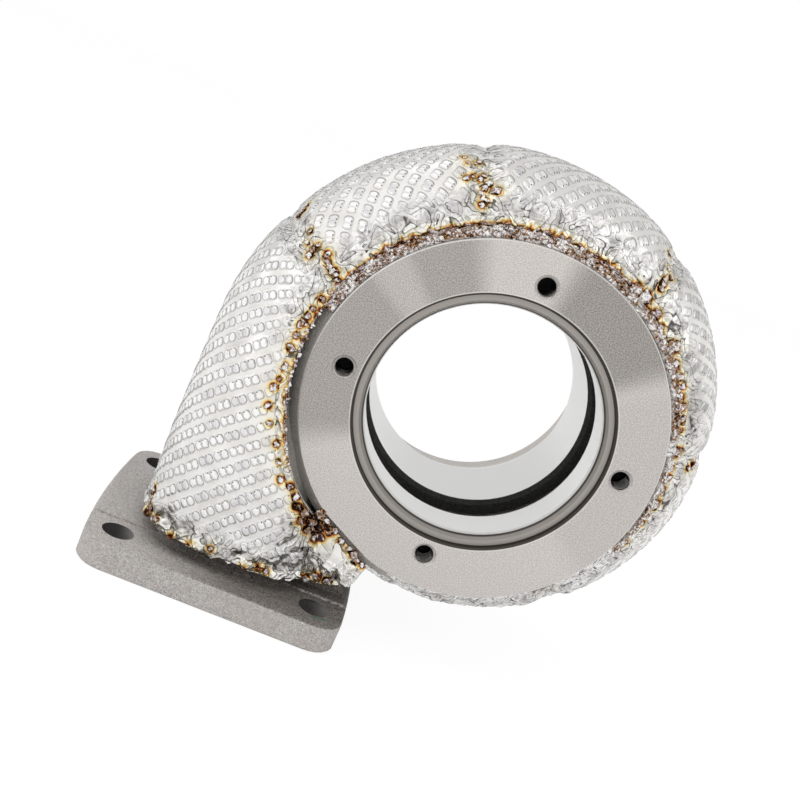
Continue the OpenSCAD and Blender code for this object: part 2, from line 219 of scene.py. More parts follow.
def embossing(u, v, shift):
    """Pattern coordinates of the embossing: one pillow a unit along and across, in rows turned by 45 degrees."""
    across, along = (u + v) / math.sqrt(2), (u - v) / math.sqrt(2)
    return ((along - SKEW_LONG * across + START_LONG + shift) / PITCH_LONG,
            (across + SKEW_SHORT * along + START_SHORT + 1.7 * shift) / PITCH_SHORT)


def pillows(a, b, gap):
    """Embossed pillows from 0 on the land to 1 on top: pairs of merged lobes."""
    a, b = (a - np.round(a)) * PITCH_LONG, (b - np.round(b)) * PITCH_SHORT
    near = np.maximum(np.abs(a) - gap, 0.0)
    outline = np.cbrt(near ** 3 + np.abs(b) ** 3) / LOBE_R
    top = smooth((1.15 - outline) / 0.31)
    waist = np.exp(-((a / 0.45) ** 2))
    return top * (1.0 - 0.38 * gap * waist) * (1.0 - 0.25 * waist * smooth(np.abs(b) / LOBE_R))


def facets(x, y, seed):
    """Flat facets with sharp creases between them, from -1 to 1, one a unit."""
    i, j = np.floor(x).astype(np.int64), np.floor(y).astype(np.int64)
    fx, fy = x - i, y - j
    a, b, c, d = (hashed(i + m, j + n, seed) for m, n in ((0, 0), (1, 0), (0, 1), (1, 1)))
    low = a + (b - a) * fx + (c - a) * fy
    high = d + (c - d) * (1.0 - fx) + (b - d) * (1.0 - fy)
    return 2.0 * np.where(fx + fy < 1.0, low, high) - 1.0


def foil_relief(u, v, front_gap, rear_gap, corner, seed, rise):
    """Height of the foil over its land in millimetres, with the shares of embossing and of creases there and the
    pattern's coordinates."""
    seam_gap = np.min([np.abs(u - path_of(q)) for q in SEAMS], axis=0)
    foot_gap = u - FOOT_Z
    edge = np.minimum(np.minimum(front_gap, rear_gap), np.minimum(foot_gap, seam_gap + 1.5))
    crush = smooth((5.0 - edge) / 4.5)
    puffy = smooth((18.0 - front_gap) / 10.0) * smooth((u - 90.0) / 60.0)
    creased = np.maximum(np.maximum(puffy, smooth((13.0 - seam_gap) / 9.0)), corner)
    bend = (0.5 if seed == NECK_SEED else 1.1) + 1.0 * creased
    warp = bend * noise(u / 21.0, v / 18.0, seed + 50)
    wander = v - bend * noise(u / 17.0, v / 19.0, seed + 51)
    a, b = embossing(u + warp, wander if seed == NECK_SEED else -wander, 2.3 * (seed - NECK_SEED))
    crushed = hashed(np.round(a).astype(np.int64), np.round(b).astype(np.int64), seed + 60)
    share = (1.0 - 0.85 * crush) * (1.0 - 0.55 * creased) * (1.0 - (0.15 + 0.5 * creased) * crushed)
    height = rise * pillows(a, b, NECK_GAP if seed == NECK_SEED else GORE_GAP) * share
    height = height + 0.35 * noise(u / 33.0, v / 27.0, seed + 40)
    height = height + creased * (0.65 * folds(u / 10.0, v / 7.0, seed + 3) + 0.5 * facets(u / 5.5, v / 4.5, seed + 4))
    height = height + corner * (0.6 * folds(u / 9.0, v / 6.0, seed + 8) + 0.5 * facets(u / 5.0, v / 4.0, seed + 9))
    height = height + crush * (0.35 * folds(u / 4.0, v / 4.0, seed + 5) + 0.45 * facets(u / 3.4, v / 3.0, seed + 6))
    height = height - 0.7 * smooth((2.5 - seam_gap) / 2.5)
    height = mix(height, 0.4 * height - 0.9, smooth((6.0 - front_gap) / 2.5))
    return height, share, np.maximum(creased, crush), a, b


def link_mesh(name, points, faces):
    """New smooth object from points in millimetres."""
    mesh = bpy.data.meshes.new(name)
    mesh.from_pydata((np.asarray(points, float) * MM).tolist(), [], faces)
    mesh.polygons.foreach_set("use_smooth", [True] * len(mesh.polygons))
    mesh.update()
    obj = bpy.data.objects.new(name, mesh)
    bpy.context.scene.collection.objects.link(obj)
    return obj


def paint(obj, name, values):
    """Number on each vertex that the materials read by name."""
    layer = obj.data.attributes.new(name, "FLOAT", "POINT")
    layer.data.foreach_set("value", np.asarray(values, np.float32).ravel())


def paint_sheet(obj, **values):
    """Numbers on the outer grid of a closed sheet, and 0 on its inner one."""
    for name, grid in values.items():
        flat = np.zeros(len(obj.data.vertices))
        flat[:grid.size] = grid.ravel()
        paint(obj, name, flat)


def closed_sheet(name, outer, inner, step=4):
    """Closed shell: a fine outer grid, a coarse inner one at every step-th point, and rims between them.
    Both grids run the same way, and their counts are one more than a multiple of step."""
    rows, cols = outer.shape[:2]
    skin = inner[::step, ::step]
    s_rows, s_cols = skin.shape[:2]
    i, j = np.meshgrid(np.arange(rows - 1), np.arange(cols - 1), indexing="ij")
    a = (i * cols + j).ravel()
    faces = np.stack([a, a + cols, a + cols + 1, a + 1], 1).tolist()
    base = rows * cols
    i, j = np.meshgrid(np.arange(s_rows - 1), np.arange(s_cols - 1), indexing="ij")
    b = base + (i * s_cols + j).ravel()
    faces += np.stack([b, b + 1, b + s_cols + 1, b + s_cols], 1).tolist()
    for k in range(s_cols - 1):
        low = [k * step + m for m in range(step + 1)]
        faces.append(low + [base + k + 1, base + k])
        top, skin_top = (rows - 1) * cols, base + (s_rows - 1) * s_cols
        high = [top + k * step + m for m in range(step, -1, -1)]
        faces.append(high + [skin_top + k, skin_top + k + 1])
    for k in range(s_rows - 1):
        left = [(k * step + m) * cols for m in range(step, -1, -1)]
        faces.append(left + [base + k * s_cols, base + (k + 1) * s_cols])
        right = [(k * step + m) * cols + cols - 1 for m in range(step + 1)]
        faces.append(right + [base + (k + 2) * s_cols - 1, base + (k + 1) * s_cols - 1])
    return link_mesh(name, np.concatenate([outer.reshape(-1, 3), skin.reshape(-1, 3)]), faces)


def grid_count(length, pitch, step=4):
    """Points along a length, one more than a multiple of step."""
    return step * max(1, round(length / pitch / step)) + 1


# Spot welds seen from the front: path position, section angle, bead radius, and heat of the tint round it
FRONT_SPOTS = [
    (63, -98, 1.7, .8), (70, -95, 1.5, .7), (77, -92, 1.7, .8), (84, -89, 1.5, .8), (91, -86, 1.8, .8),
    (99, -85, 1.9, .8), (103, -86, 1.3, .8), (108, -86, 1.7, .7), (110, -86, 1.2, .6), (117, -85, 2.2, .8),
    (124, -85, 1.8, .8), (130, -84, 1.7, .8), (132, -85, 1.9, .8), (136, -85, 1.8, .8), (141, -85, 1.7, .8),
    (148, -85, 1.6, .9),
    (166, -69, 1.8, 1.), (164, -71, 1.6, 1.), (164, -72, 1.8, 1.), (163, -75, 1.6, 1.), (162, -78, 1.7, 1.),
    (164, -79, 1.3, 1.), (162, -81, 1.5, 1.), (161, -84, 1.6, .9), (159, -60, 1.6, .8), (161, -59, 1.6, .8),
    (163, -59, 1.4, .8), (165, -59, 1.4, .7), (162, -51, 1.2, .7),
    (54, -112, 2.4, 1.), (52, -119, 2.8, 1.), (49, -127, 3.0, 1.), (48, -118, 2.2, 1.), (45, -137, 2.6, 1.),
    (58, -109, 1.8, 1.), (44, -127, 2.2, 1.), (62, -104, 1.9, .9), (47, -143, 2.4, 1.), (39, -141, 1.8, .9),
    (168, -20, 1.7, .8), (170, -16, 1.4, .8), (165, -19, 1.4, .7), (166, -45, 1.3, .7), (163, -56, 1.3, .7),
    (21, -33, 2.2, 1.), (26, -31, 1.6, .9), (24, -36, 1.7, .9),
    (240, -31, 1.3, .8), (241, -38, 1.3, .8), (244, -37, 1.2, .6), (246, -34, 1.2, .7), (240, -52, 1.6, .8),
    (243, -50, 1.2, .8), (246, -52, 1.6, .9), (248, -48, 1.3, .8), (250, -55, 1.6, .8), (248, -59, 1.5, .8),
    (254, -61, 1.8, 1.), (252, -61, 1.3, .8), (247, -67, 1.4, .8), (246, -72, 1.8, .8), (249, -68, 1.3, .7),
    (246, -63, 1.3, .6), (351, -57, 1.9, 1.), (352, -61, 1.5, 1.), (350, -53, 1.4, .9), (344, -29, 1.4, .7),
    (348, -42, 1.2, .7), (352, -45, 1.3, .7), (453, -42, 1.8, .8), (454, -49, 1.5, .8), (452, -38, 1.2, .6),
]
# Single beads on the ring's edge: sweep angle, radius about the axis, bead radius and heat
EDGE_SPOTS = [
    (114.5, 86.4, 2.4, 1.), (118.5, 87., 3., 1.), (124, 86.8, 2.1, .9), (128, 86, 1.5, .8), (135, 87, 2.8, 1.),
    (140, 86, 1.7, .9), (144, 86.2, 1.8, .9), (147, 87.5, 1.5, .8), (150, 86, 1.8, .8), (153, 86.5, 1.9, .9),
    (157, 86, 1.9, .9), (160, 86.4, 1.4, .8), (167, 87, 2.7, 1.), (172, 86, 1.8, .8), (175, 86.4, 1.7, .8),
    (179, 86, 1.8, .9), (184, 87, 2.5, .9), (191, 86, 1.8, .9), (199, 86.2, 1.9, 1.), (226, 87, 2., .8),
    (229, 87.5, 1.8, .7), (257, 86, 1.4, .5), (275, 86, 1.4, .6),
]
# Crusts of fine beads along it: sweep from, to, middle radius, half width, bead radius and heat
EDGE_RUNS = [(-34, 16, 85.3, 0.8, 1.0, .7), (16, 48, 83.2, 2.3, 1.1, .95), (48, 60, 83.2, 1.6, 1.0, .7),
             (60, 92, 82.9, 2.0, 1.1, .9), (92, 118, 83.2, 1.8, 1.0, .9), (120, 136, 82.6, 1.0, 1.0, .8),
             (136, 163, 82.2, 1.2, 1.1, .8), (167, 202, 82.2, 1.2, 1.1, .8), (223, 231, 84.4, 1.2, 1.0, .7)]
# The welded edge that climbs to the ring: sweep angles, radii at the foil and at the ring, grid pitch and rows
FILLET, FOIL_R, RING_R = (14.0, 284.0), EDGE_FRONT + 0.3, 80.5
FILLET_PITCH, FILLET_ROWS = 0.45, 25


def crust_border(u, gap):
    """Share of the welded runs at a path position, and how far a point lies outside the crust's ragged border."""
    q = np.where(u < AXIS_Z, np.degrees(np.arcsin(np.clip((u - AXIS_Z) / EDGE_FRONT, -1.0, 1.0))),
                 np.degrees((u - AXIS_Z) / PATH_R))
    inside, width = np.zeros(u.shape), np.zeros(u.shape)
    for a, b, _, half, _, _ in EDGE_RUNS:
        here = smooth((q - a + 1.0) / 2.0) * smooth((b + 1.0 - q) / 2.0)
        width = np.maximum(width, here * (0.55 * half + 0.3))
        inside = np.maximum(inside, here)
    return inside, gap - width - 1.1 * noise(u / 2.2, gap / 3.0, 31) - 0.6 * noise(u / 0.9, gap / 0.9, 32)


def edge_crust(u, gap):
    """Share of crust on the ring's edge hem."""
    inside, beyond = crust_border(u, gap)
    return inside * smooth(-beyond / 0.5)


def edge_scorch(u, gap):
    """Heat tint outside the crust's border."""
    inside, beyond = crust_border(u, gap)
    beyond = np.maximum(beyond, 0.0)
    broken = 0.75 + 0.35 * noise(u / 1.6, gap / 1.6, 33)
    return inside * broken * (0.60 * np.exp(-beyond / 0.7) + 0.14 * np.exp(-beyond / 2.6))


def surface_at(u, t):
    """Point and outward normal of the jacket's land at path positions and section angles."""
    u, t = np.asarray(u, float), np.asarray(t, float)
    d = jacket_depth(u)
    p = jacket_point(u, t, d)
    along = jacket_point(u + 0.4, t, d) - jacket_point(u - 0.4, t, d)
    across = jacket_point(u, t + 0.5, d) - jacket_point(u, t - 0.5, d)
    n = np.cross(along, across)
    return p, n / np.linalg.norm(n, axis=-1, keepdims=True)


def front_place(q, r):
    """Path position and section angle of a spot seen from the front at a sweep angle and radius."""
    q, r = np.asarray(q, float), np.asarray(r, float)
    u = np.where(q < 0, AXIS_Z + r * np.sin(np.radians(q)), path_of(q))
    return u, -limit(u, jacket_depth(u), r)


def edge_slope(q, r):
    """Points at sweep angles and radii on the weld that climbs from the foil's edge to the ring's front edge."""
    p, _ = surface_at(*front_place(q, np.full(np.shape(q), FOIL_R)))
    out = p - [AXIS_X, 0, AXIS_Z]
    out[:, 1] = 0.0
    out /= np.linalg.norm(out, axis=1, keepdims=True)
    share = np.clip((FOIL_R - r) / (FOIL_R - RING_R), 0.0, 1.0)[:, None]
    taper = (smooth((q - FILLET[0]) / 7.0) * smooth((FILLET[1] - q) / 7.0))[:, None]
    climb = (FACE_Y + 2.0 - p[:, 1:2]) * share ** 0.8 * taper
    fuller = (0.4 * share + 2.0 * np.sin(np.pi * share)) * smooth((q - 112.0) / 16.0)[:, None] * taper
    return p + out * (fuller - (FOIL_R - RING_R) * share) + climb * [0.0, 1.0, 0.0]


def facing_front(n):
    """Normals turned as one, so that they look towards the ring's side."""
    return n * -np.sign(n[..., 1:2].mean())


def edge_fillet():
    """Outer grid and normals of that edge, and its share of welded runs."""
    low, high = FILLET
    q = np.linspace(low, high, grid_count(math.radians(high - low) * EDGE_FRONT, FILLET_PITCH))
    radii = np.linspace(FOIL_R, RING_R, FILLET_ROWS)
    grid = np.stack([edge_slope(q, np.full(q.shape, r)) for r in radii], axis=1)
    welded, _ = crust_border(path_of(q)[:, None] + np.zeros(radii.shape), np.zeros((len(q), len(radii))))
    return grid, facing_front(grid_normals(grid)), welded


def ring_spots():
    """Beads along the ring's edge: points, normals, radii and heats."""
    rng = np.random.default_rng(11)
    beads = [list(b) for b in EDGE_SPOTS]
    for a, b, radius, half, bead, hot in EDGE_RUNS:
        count = int(math.radians(b - a) * radius * (1.0 + 0.5 * half) * 0.45 / bead)
        for k in range(count):
            beads.append([mix(a, b, (k + rng.uniform(0, 1)) / count), radius + half * rng.uniform(-1, 1),
                          bead * rng.uniform(0.45, 1.1), hot * rng.uniform(0.7, 1.05)])
    q, r, size, heat = np.array(beads).T
    u, t = front_place(q, np.maximum(r, EDGE_FRONT))
    p, n = surface_at(u, t)
    low = np.nonzero(r < EDGE_FRONT)[0]
    p[low] = edge_slope(q[low], r[low])
    return p, n, size, heat


def panel_spots():
    """Beads out on the panels and along the seams."""
    u, t, size, heat = np.array(FRONT_SPOTS).T
    p, n = surface_at(u, t)
    return p, n, size * 0.85, heat


def all_spots():
    """Every bead that tints the foil round it."""
    sets = (ring_spots(), panel_spots(), foot_spots(), gusset_spots())
    return [np.concatenate(part) for part in zip(*sets)]


# Beads on the foil's foot and the gusset: place across the front, height, bead radius and heat, in millimetres
FOOT_SPOTS = [(-39, 31, 2.2, .7), (-33, 22, 1.7, .7), (-24, 20, 1.4, .8), (-15, 20, 1.5, .9), (-6, 22, 1.3, .8),
              (10, 20, 1.5, .7), (16, 22, 1.6, .8), (20, 21, 1.4, .7)]


def foot_spots():
    """Beads along the foil's foot, on the front of the neck."""
    x, z, size, heat = np.array(FOOT_SPOTS, float).T
    half_x, mid_x, _, _, square, _, _ = sections(z)
    d = jacket_depth(z)
    t = -np.degrees(np.arccos(np.clip(spow((mid_x - x) / (half_x + d), square / 2), -1.0, 1.0)))
    p, n = surface_at(z, t)
    return p, n, size, heat


def gusset_base(shares, count):
    """Grid of the gusset between the scroll's end (share 0) and the neck's corners (share 1)."""
    f = np.linspace(0.0, 1.0, count)
    end = np.array([path_of(SWEEP_END)])
    d = jacket_depth(end)
    a, b = limit(end, d, EDGE_FRONT)[0], limit(end, d, EDGE_REAR)[0]
    t = np.interp(f, [0, 3 / 14, 11 / 14, 1], [-a, -min(75.0, 0.8 * a), min(75.0, 0.8 * b), b])
    scroll = jacket_point(end[:, None], t[None], d[:, None])[0]
    s = 2.0 * f - 1.0
    side = np.where(s < 0, -1.0, 1.0)
    up = np.maximum(0.0, 2.0 * np.abs(s) - 1.0)
    z = mix(FOOT_Z, np.where(s < 0, FRONT_LEAVE, REAR_LEAVE), up)
    turn = side * mix(180.0, NECK_WRAP, np.minimum(1.0, 2.0 * np.abs(s)))
    neck = jacket_point(z, turn, jacket_depth(z))
    inward = np.array([AXIS_X - 40.0, 0.0, AXIS_Z - 30.0])
    inward /= np.linalg.norm(inward)
    w = np.asarray(shares)[:, None, None]
    return scroll * (1 - w) + neck * w + inward * 3.0 * np.sin(np.pi * w)


# Corners of the gusset's front: by the ring at the neck and at the far end, then below at the far end and the neck
APRON = np.array([[31.0, -38.5, 54.0], [61.0, -37.5, 36.5], [57.5, -37.5, 24.8], [37.0, -36.5, 19.8]])


def gusset_apron(rows, cols):
    """Grid of the gusset's front, between the neck's corner, the ring and the plate."""
    w = np.linspace(0.0, 1.0, rows)[:, None, None]
    f = np.linspace(0.0, 1.0, cols)[None, :, None]
    grid = mix(mix(APRON[0], APRON[1], f), mix(APRON[3], APRON[2], f), w)
    swell = 2.2 * np.sin(np.pi * np.clip(w, 0, 1)) * (0.35 + 0.65 * f * (1 - f) * 4)
    bow = 0.9 * np.sin(np.pi * f) * w
    return grid + swell * np.array([0.05, -1.0, -0.25]) + bow * np.array([0.0, 0.0, -1.0])


def sheet_hem(rows, cols, length, width, hem):
    """Places on a sheet in millimetres, and a share that falls to 0 at its edges over the hem."""
    i, j = np.meshgrid(np.linspace(0.0, length, rows), np.linspace(0.0, width, cols), indexing="ij")
    return i, j, smooth(np.minimum(np.minimum(i, length - i), np.minimum(j, width - j)) / hem)


def gusset_relief(rows, cols):
    """Large soft folds of the gusset's foil."""
    i, j, inner = sheet_hem(rows, cols, 30.0, 130.0, 4.0)
    return inner * (1.9 * facets(i / 8.0, j / 9.0, 61) + 0.7 * facets(i / 3.5, j / 3.5 + i / 9.0, 62)) + 0.3


def apron_relief(rows, cols):
    """Folds of the gusset's front."""
    i, j, inner = sheet_hem(rows, cols, 28.0, 34.0, 3.0)
    return (0.3 + 0.7 * inner) * (2.0 * facets(i / 6.0, j / 5.0, 63) + 1.0 * folds(i / 5.0, j / 4.0, 64))


# Beads on the gusset's front: share down from the ring, share along it, bead radius and heat
GUSSET_SPOTS = [
    (.02, .06, 2.6, 1.), (.10, .02, 2.4, 1.), (.16, .10, 2.6, 1.), (.24, .03, 2.2, 1.), (.28, .16, 2.0, 1.),
    (.36, .08, 1.8, 1.), (.10, .24, 2.0, 1.), (.02, .18, 1.8, 1.), (.03, .36, 1.5, .9), (.04, .50, 1.6, .9),
    (.03, .64, 1.5, .8), (.03, .76, 1.8, .9), (.08, .83, 1.4, .8), (.04, .93, 1.4, .8), (.88, .28, 1.9, .9),
    (.90, .50, 1.8, .9), (.97, .08, 1.6, .8),
]


def gusset_spots():
    """Beads on the gusset's front and the large patch at its upper corner."""
    w, f, size, heat = np.array(GUSSET_SPOTS).T
    cells = 40
    base = gusset_apron(cells + 1, cells + 1)
    n = facing_front(grid_normals(base))
    i, j = np.round(w * cells).astype(int), np.round(f * cells).astype(int)
    return base[i, j], n[i, j], size, heat


# Beads: how far they stand off the foil and how flat they are, in bead radii
BEAD_STAND, BEAD_FLAT = 0.35, 0.42


def bead_mesh(name, p, n, size, seed, burnt):
    """One object of rounded lumps, each sitting on its point and pressed flat along its normal."""
    rng = np.random.default_rng(seed)
    bm = bmesh.new()
    bmesh.ops.create_icosphere(bm, subdivisions=3, radius=1.0)
    ball = np.array([v.co[:] for v in bm.verts])
    ball_faces = [[v.index for v in f.verts] for f in bm.faces]
    bm.free()
    points, faces, tone = [], [], []
    for centre, normal, s in zip(p, n, size):
        side = np.cross(normal, [0.31, 0.2, 0.93])
        side /= np.linalg.norm(side)
        spin = rng.uniform(0, math.pi)
        other = np.cross(normal, side)
        axis_a = side * math.cos(spin) + other * math.sin(spin)
        axis_b = np.cross(normal, axis_a)
        stretch = rng.uniform(0.85, 1.3)
        k = rng.integers(1, 900)
        lump = 1.0 + 0.45 * noise(ball[:, 0] * 1.9 + k, ball[:, 1] * 1.9 + ball[:, 2], int(k))
        lump += 0.14 * noise(ball[:, 0] * 4.1 + k, ball[:, 1] * 4.1 + 2.0 * ball[:, 2], int(k) + 1)
        b = ball * lump[:, None] * s
        across = np.hypot(ball[:, 0], ball[:, 1])
        b[:, 2] -= s * rng.uniform(0.2, 0.9) * np.exp(-(across / 0.42) ** 2) * (ball[:, 2] > 0)
        shape = b[:, :1] * axis_a * stretch + b[:, 1:2] * axis_b / stretch + b[:, 2:] * normal * BEAD_FLAT
        faces += [[len(points) + i for i in f] for f in ball_faces]
        points += (centre + normal * s * BEAD_STAND + shape).tolist()
        shade = 0.26 - burnt * smooth((s - 1.6) / 0.5) + rng.uniform(-0.1, 0.1)
        # Lighter towards each bead's top and darker at its foot: painted highlight and shade
        tone += (shade + 0.5 * np.clip(ball[:, 2], -0.3, 1.0)).tolist()
    obj = link_mesh(name, points, faces)
    paint(obj, "tone", tone)
    return obj


# Middle and radius of the burnt patch at the gusset's upper corner
BURN = np.array([31.0, -40.0, 50.0, 8.5])


def heat_field(points, spots, seed):
    """Heat tint at each point, fading out over a few millimetres from the beads round it."""
    p, _, size, heat = spots
    flat = points.reshape(-1, 3)
    out = np.zeros(len(flat))
    for centre, s, h in zip(p, size, heat):
        near = np.nonzero(np.abs(flat - centre).max(axis=1) < s + 9.0)[0]
        gap = np.maximum(np.linalg.norm(flat[near] - centre, axis=1) - s, 0.0)
        out[near] = np.maximum(out[near], h * (0.62 * np.exp(-gap / 0.8) + 0.13 * np.exp(-gap / 2.8)))
    burn = np.exp(-(np.linalg.norm((flat - BURN[:3]) / BURN[3], axis=1)) ** 4)
    ripple = noise(flat[:, 0] / 2.0 + flat[:, 1] / 2.7, flat[:, 2] / 2.0, seed)
    fine = noise(flat[:, 0] / 0.9 + flat[:, 1] / 1.3, flat[:, 2] / 0.9, seed + 1)
    out = np.maximum(out, burn * (0.52 + 0.35 * ripple + 0.2 * fine))
    return (out * (1.0 + 0.3 * ripple)).reshape(points.shape[:-1])


def maths(operation, swapped=False, clamp=False):
    """Method of a wire that adds one Math node."""
    def apply(self, other=0.0):
        a, b = (other, self) if swapped else (self, other)
        return self.shop.node("ShaderNodeMath", {"operation": operation, "use_clamp": clamp}, {0: a, 1: b})
    return apply


class Wire:
    """A socket that takes part in Python expressions and adds the Math nodes it needs."""

    def __init__(self, shop, socket):
        self.shop, self.socket = shop, socket

    __add__, __radd__ = maths("ADD"), maths("ADD", swapped=True)
    __sub__, __rsub__ = maths("SUBTRACT"), maths("SUBTRACT", swapped=True)
    __mul__, __rmul__ = maths("MULTIPLY"), maths("MULTIPLY", swapped=True)
    __truediv__, __rtruediv__ = maths("DIVIDE"), maths("DIVIDE", swapped=True)
    __pow__, __rpow__ = maths("POWER"), maths("POWER", swapped=True)
    __abs__, __round__ = maths("ABSOLUTE"), maths("ROUND")
    fract, most, clamp = maths("FRACT"), maths("MAXIMUM"), maths("ADD", clamp=True)

    def ramp(self, low, high):
        """0 below low, 1 above high, smooth between."""
        return self.shop.node("ShaderNodeMapRange", {"interpolation_type": "SMOOTHSTEP"},
                              {"Value": self, "From Min": low, "From Max": high})

    def below(self, low, high):
        """1 below low, 0 above high, smooth between."""
        return 1.0 - self.ramp(low, high)

    def between(self, low, full, last, high):
        """Rises from low to full, and falls from last to high."""
        return self.ramp(low, full) * self.below(last, high)


class Shop:
    """Adds nodes to one node tree."""

    def __init__(self, tree):
        self.tree = tree
        tree.nodes.clear()

    def node(self, kind, settings=None, inputs=None, output=0):
        """New node with its settings made first, then its sockets' values or links."""
        new = self.tree.nodes.new(kind)
        for key, value in (settings or {}).items():
            if key == "stops":
                self._stops(new.color_ramp.elements, value)
            else:
                setattr(new, key, value)
        for key, value in (inputs or {}).items():
            if isinstance(value, Wire):
                self.tree.links.new(value.socket, new.inputs[key])
            else:
                new.inputs[key].default_value = value
        return Wire(self, new.outputs[output]) if new.outputs else None

    @staticmethod
    def _stops(points, stops):
        """Gives a colour ramp its places and screen colours."""
        for place, _ in stops[1:-1]:
            points.new(place)
        for point, (_, colour) in zip(points, stops):
            point.color = rgb(*colour)

    def outputs(self, wire, *names):
        """Chosen outputs of the node behind a wire."""
        return [Wire(self, wire.socket.node.outputs[name]) for name in names]

    def value(self, name):
        """Number painted on the mesh."""
        return self.node("ShaderNodeAttribute", {"attribute_name": name}, {}, "Fac")

    def place(self):
        """Place on the object, in metres."""
        return self.node("ShaderNodeTexCoord", {}, {}, "Object")

    def split(self, vector):
        """The three parts of a vector."""
        return self.outputs(self.node("ShaderNodeSeparateXYZ", {}, {0: vector}), 0, 1, 2)

    def along(self, vector, direction):
        """Length of a vector along a fixed direction."""
        return self.node("ShaderNodeVectorMath", {"operation": "DOT_PRODUCT"}, {0: vector, 1: direction}, "Value")

    def noise(self, vector, scale, detail=3.0, rough=0.55, twist=0.0):
        """Soft noise from 0 to 1."""
        return self.node("ShaderNodeTexNoise", {}, {"Vector": vector, "Scale": scale, "Detail": detail,
                                                    "Roughness": rough, "Distortion": twist}, "Fac")

    def blend(self, a, b, share, kind="MIX"):
        """Mix of two colours."""
        return self.node("ShaderNodeMix", {"data_type": "RGBA", "blend_type": kind}, {6: a, 7: b, 0: share}, 2)

    def tint(self, stops, share):
        """Colour from a table of places and screen colours."""
        return self.node("ShaderNodeValToRGB", {"stops": stops}, {"Fac": share}, "Color")

    def bump(self, height, distance):
        """Normal that a height bends, over a distance in metres."""
        return self.node("ShaderNodeBump", {}, {"Height": height, "Distance": distance})


class Finish(Shop):
    """Builds one material's nodes."""

    def __init__(self, name):
        self.material = bpy.data.materials.new(name)
        self.material.use_nodes = True
        super().__init__(self.material.node_tree)

    def surface(self, shader):
        """The material, ended with a shader."""
        self.node("ShaderNodeOutputMaterial", {}, {"Surface": shader})
        return self.material

    def finish(self, settings):
        """The material, ended with one coat of these settings."""
        return self.surface(self.node("ShaderNodeBsdfPrincipled", {}, settings))


def rgb(r, g, b):
    """Linear colour with alpha from screen values of 0 to 255."""
    def linear(c):
        c /= 255.0
        return c / 12.92 if c <= 0.04045 else ((c + 0.055) / 1.055) ** 2.4
    return (linear(r), linear(g), linear(b), 1.0)


def grey(level):
    """Grey of a linear level, with alpha."""
    return (level, level, level, 1.0)


# Colours from no heat to the most, and those of a burnt crust's grains
HEAT_STOPS = [
    (0.0, (255, 255, 255)), (0.10, (255, 252, 240)), (0.22, (253, 238, 190)), (0.36, (240, 196, 110)),
    (0.48, (196, 112, 52)), (0.60, (112, 58, 42)), (0.76, (74, 52, 50)), (1.0, (64, 54, 56)),
]
CRUST_STOPS = [
    (0.0, (28, 20, 18)), (0.18, (82, 54, 42)), (0.28, (222, 168, 96)), (0.37, (132, 96, 80)),
    (0.47, (146, 136, 140)), (0.60, (196, 189, 190)), (0.78, (240, 236, 232)), (1.0, (255, 254, 250)),
]


def emboss_shades(shop):
    """Painted highlights on lobes, painted shade in grey outlines and dark specks, and pillows dull at random, as
    shares of 0 to 1.
    """
    a, b, share, gap = (shop.value(name) for name in ("emboss_a", "emboss_b", "emboss", "lobes"))
    cell = (round(a) * 0.7549 + round(b) * 0.5698).fract()
    a, b = (a - round(a)) * PITCH_LONG, (b - round(b)) * PITCH_SHORT
    near, side = (abs(a) - gap).most(0.0), abs(b)
    outline = (near ** 3.0 + side ** 3.0) ** (1.0 / 3.0) / LOBE_R
    box = near.below(0.9, 1.4) * side.below(1.45, 1.8)
    waist = abs(a).below(0.25, 0.6) * side.below(1.6, 2.0) * (gap - 0.3).clamp()
    # Painted highlight: the flat top of each lobe
    bright = (box - waist).clamp() * share
    gore = gap.below(0.8, 1.1) * share
    # Painted shade: a grey outline round each pillow, darker towards its ends and most at one, and grey in the waist
    line = abs(outline - 1.08 - gore * 0.08).below(0.04, 0.20 + 0.10 * gore)
    grey = (line * (0.35 + 0.65 * abs(a).ramp(0.8, 2.6)) * (0.55 + 0.45 * a.ramp(-2.0, 2.0)) + waist * 0.75).clamp()
    off_a, off_b = abs(a) - 0.85, side - 1.6
    corner = (off_a * off_a + off_b * off_b) ** 0.5
    # Painted shade: dark specks at the lobes' corners, stronger on one side
    speck = corner.below(0.22, 0.48) * (0.5 + 0.5 * b.ramp(-1.0, 1.0))
    return bright, grey * share, speck * share, cell.ramp(0.5, 0.8) * (1.0 - 0.5 * share)


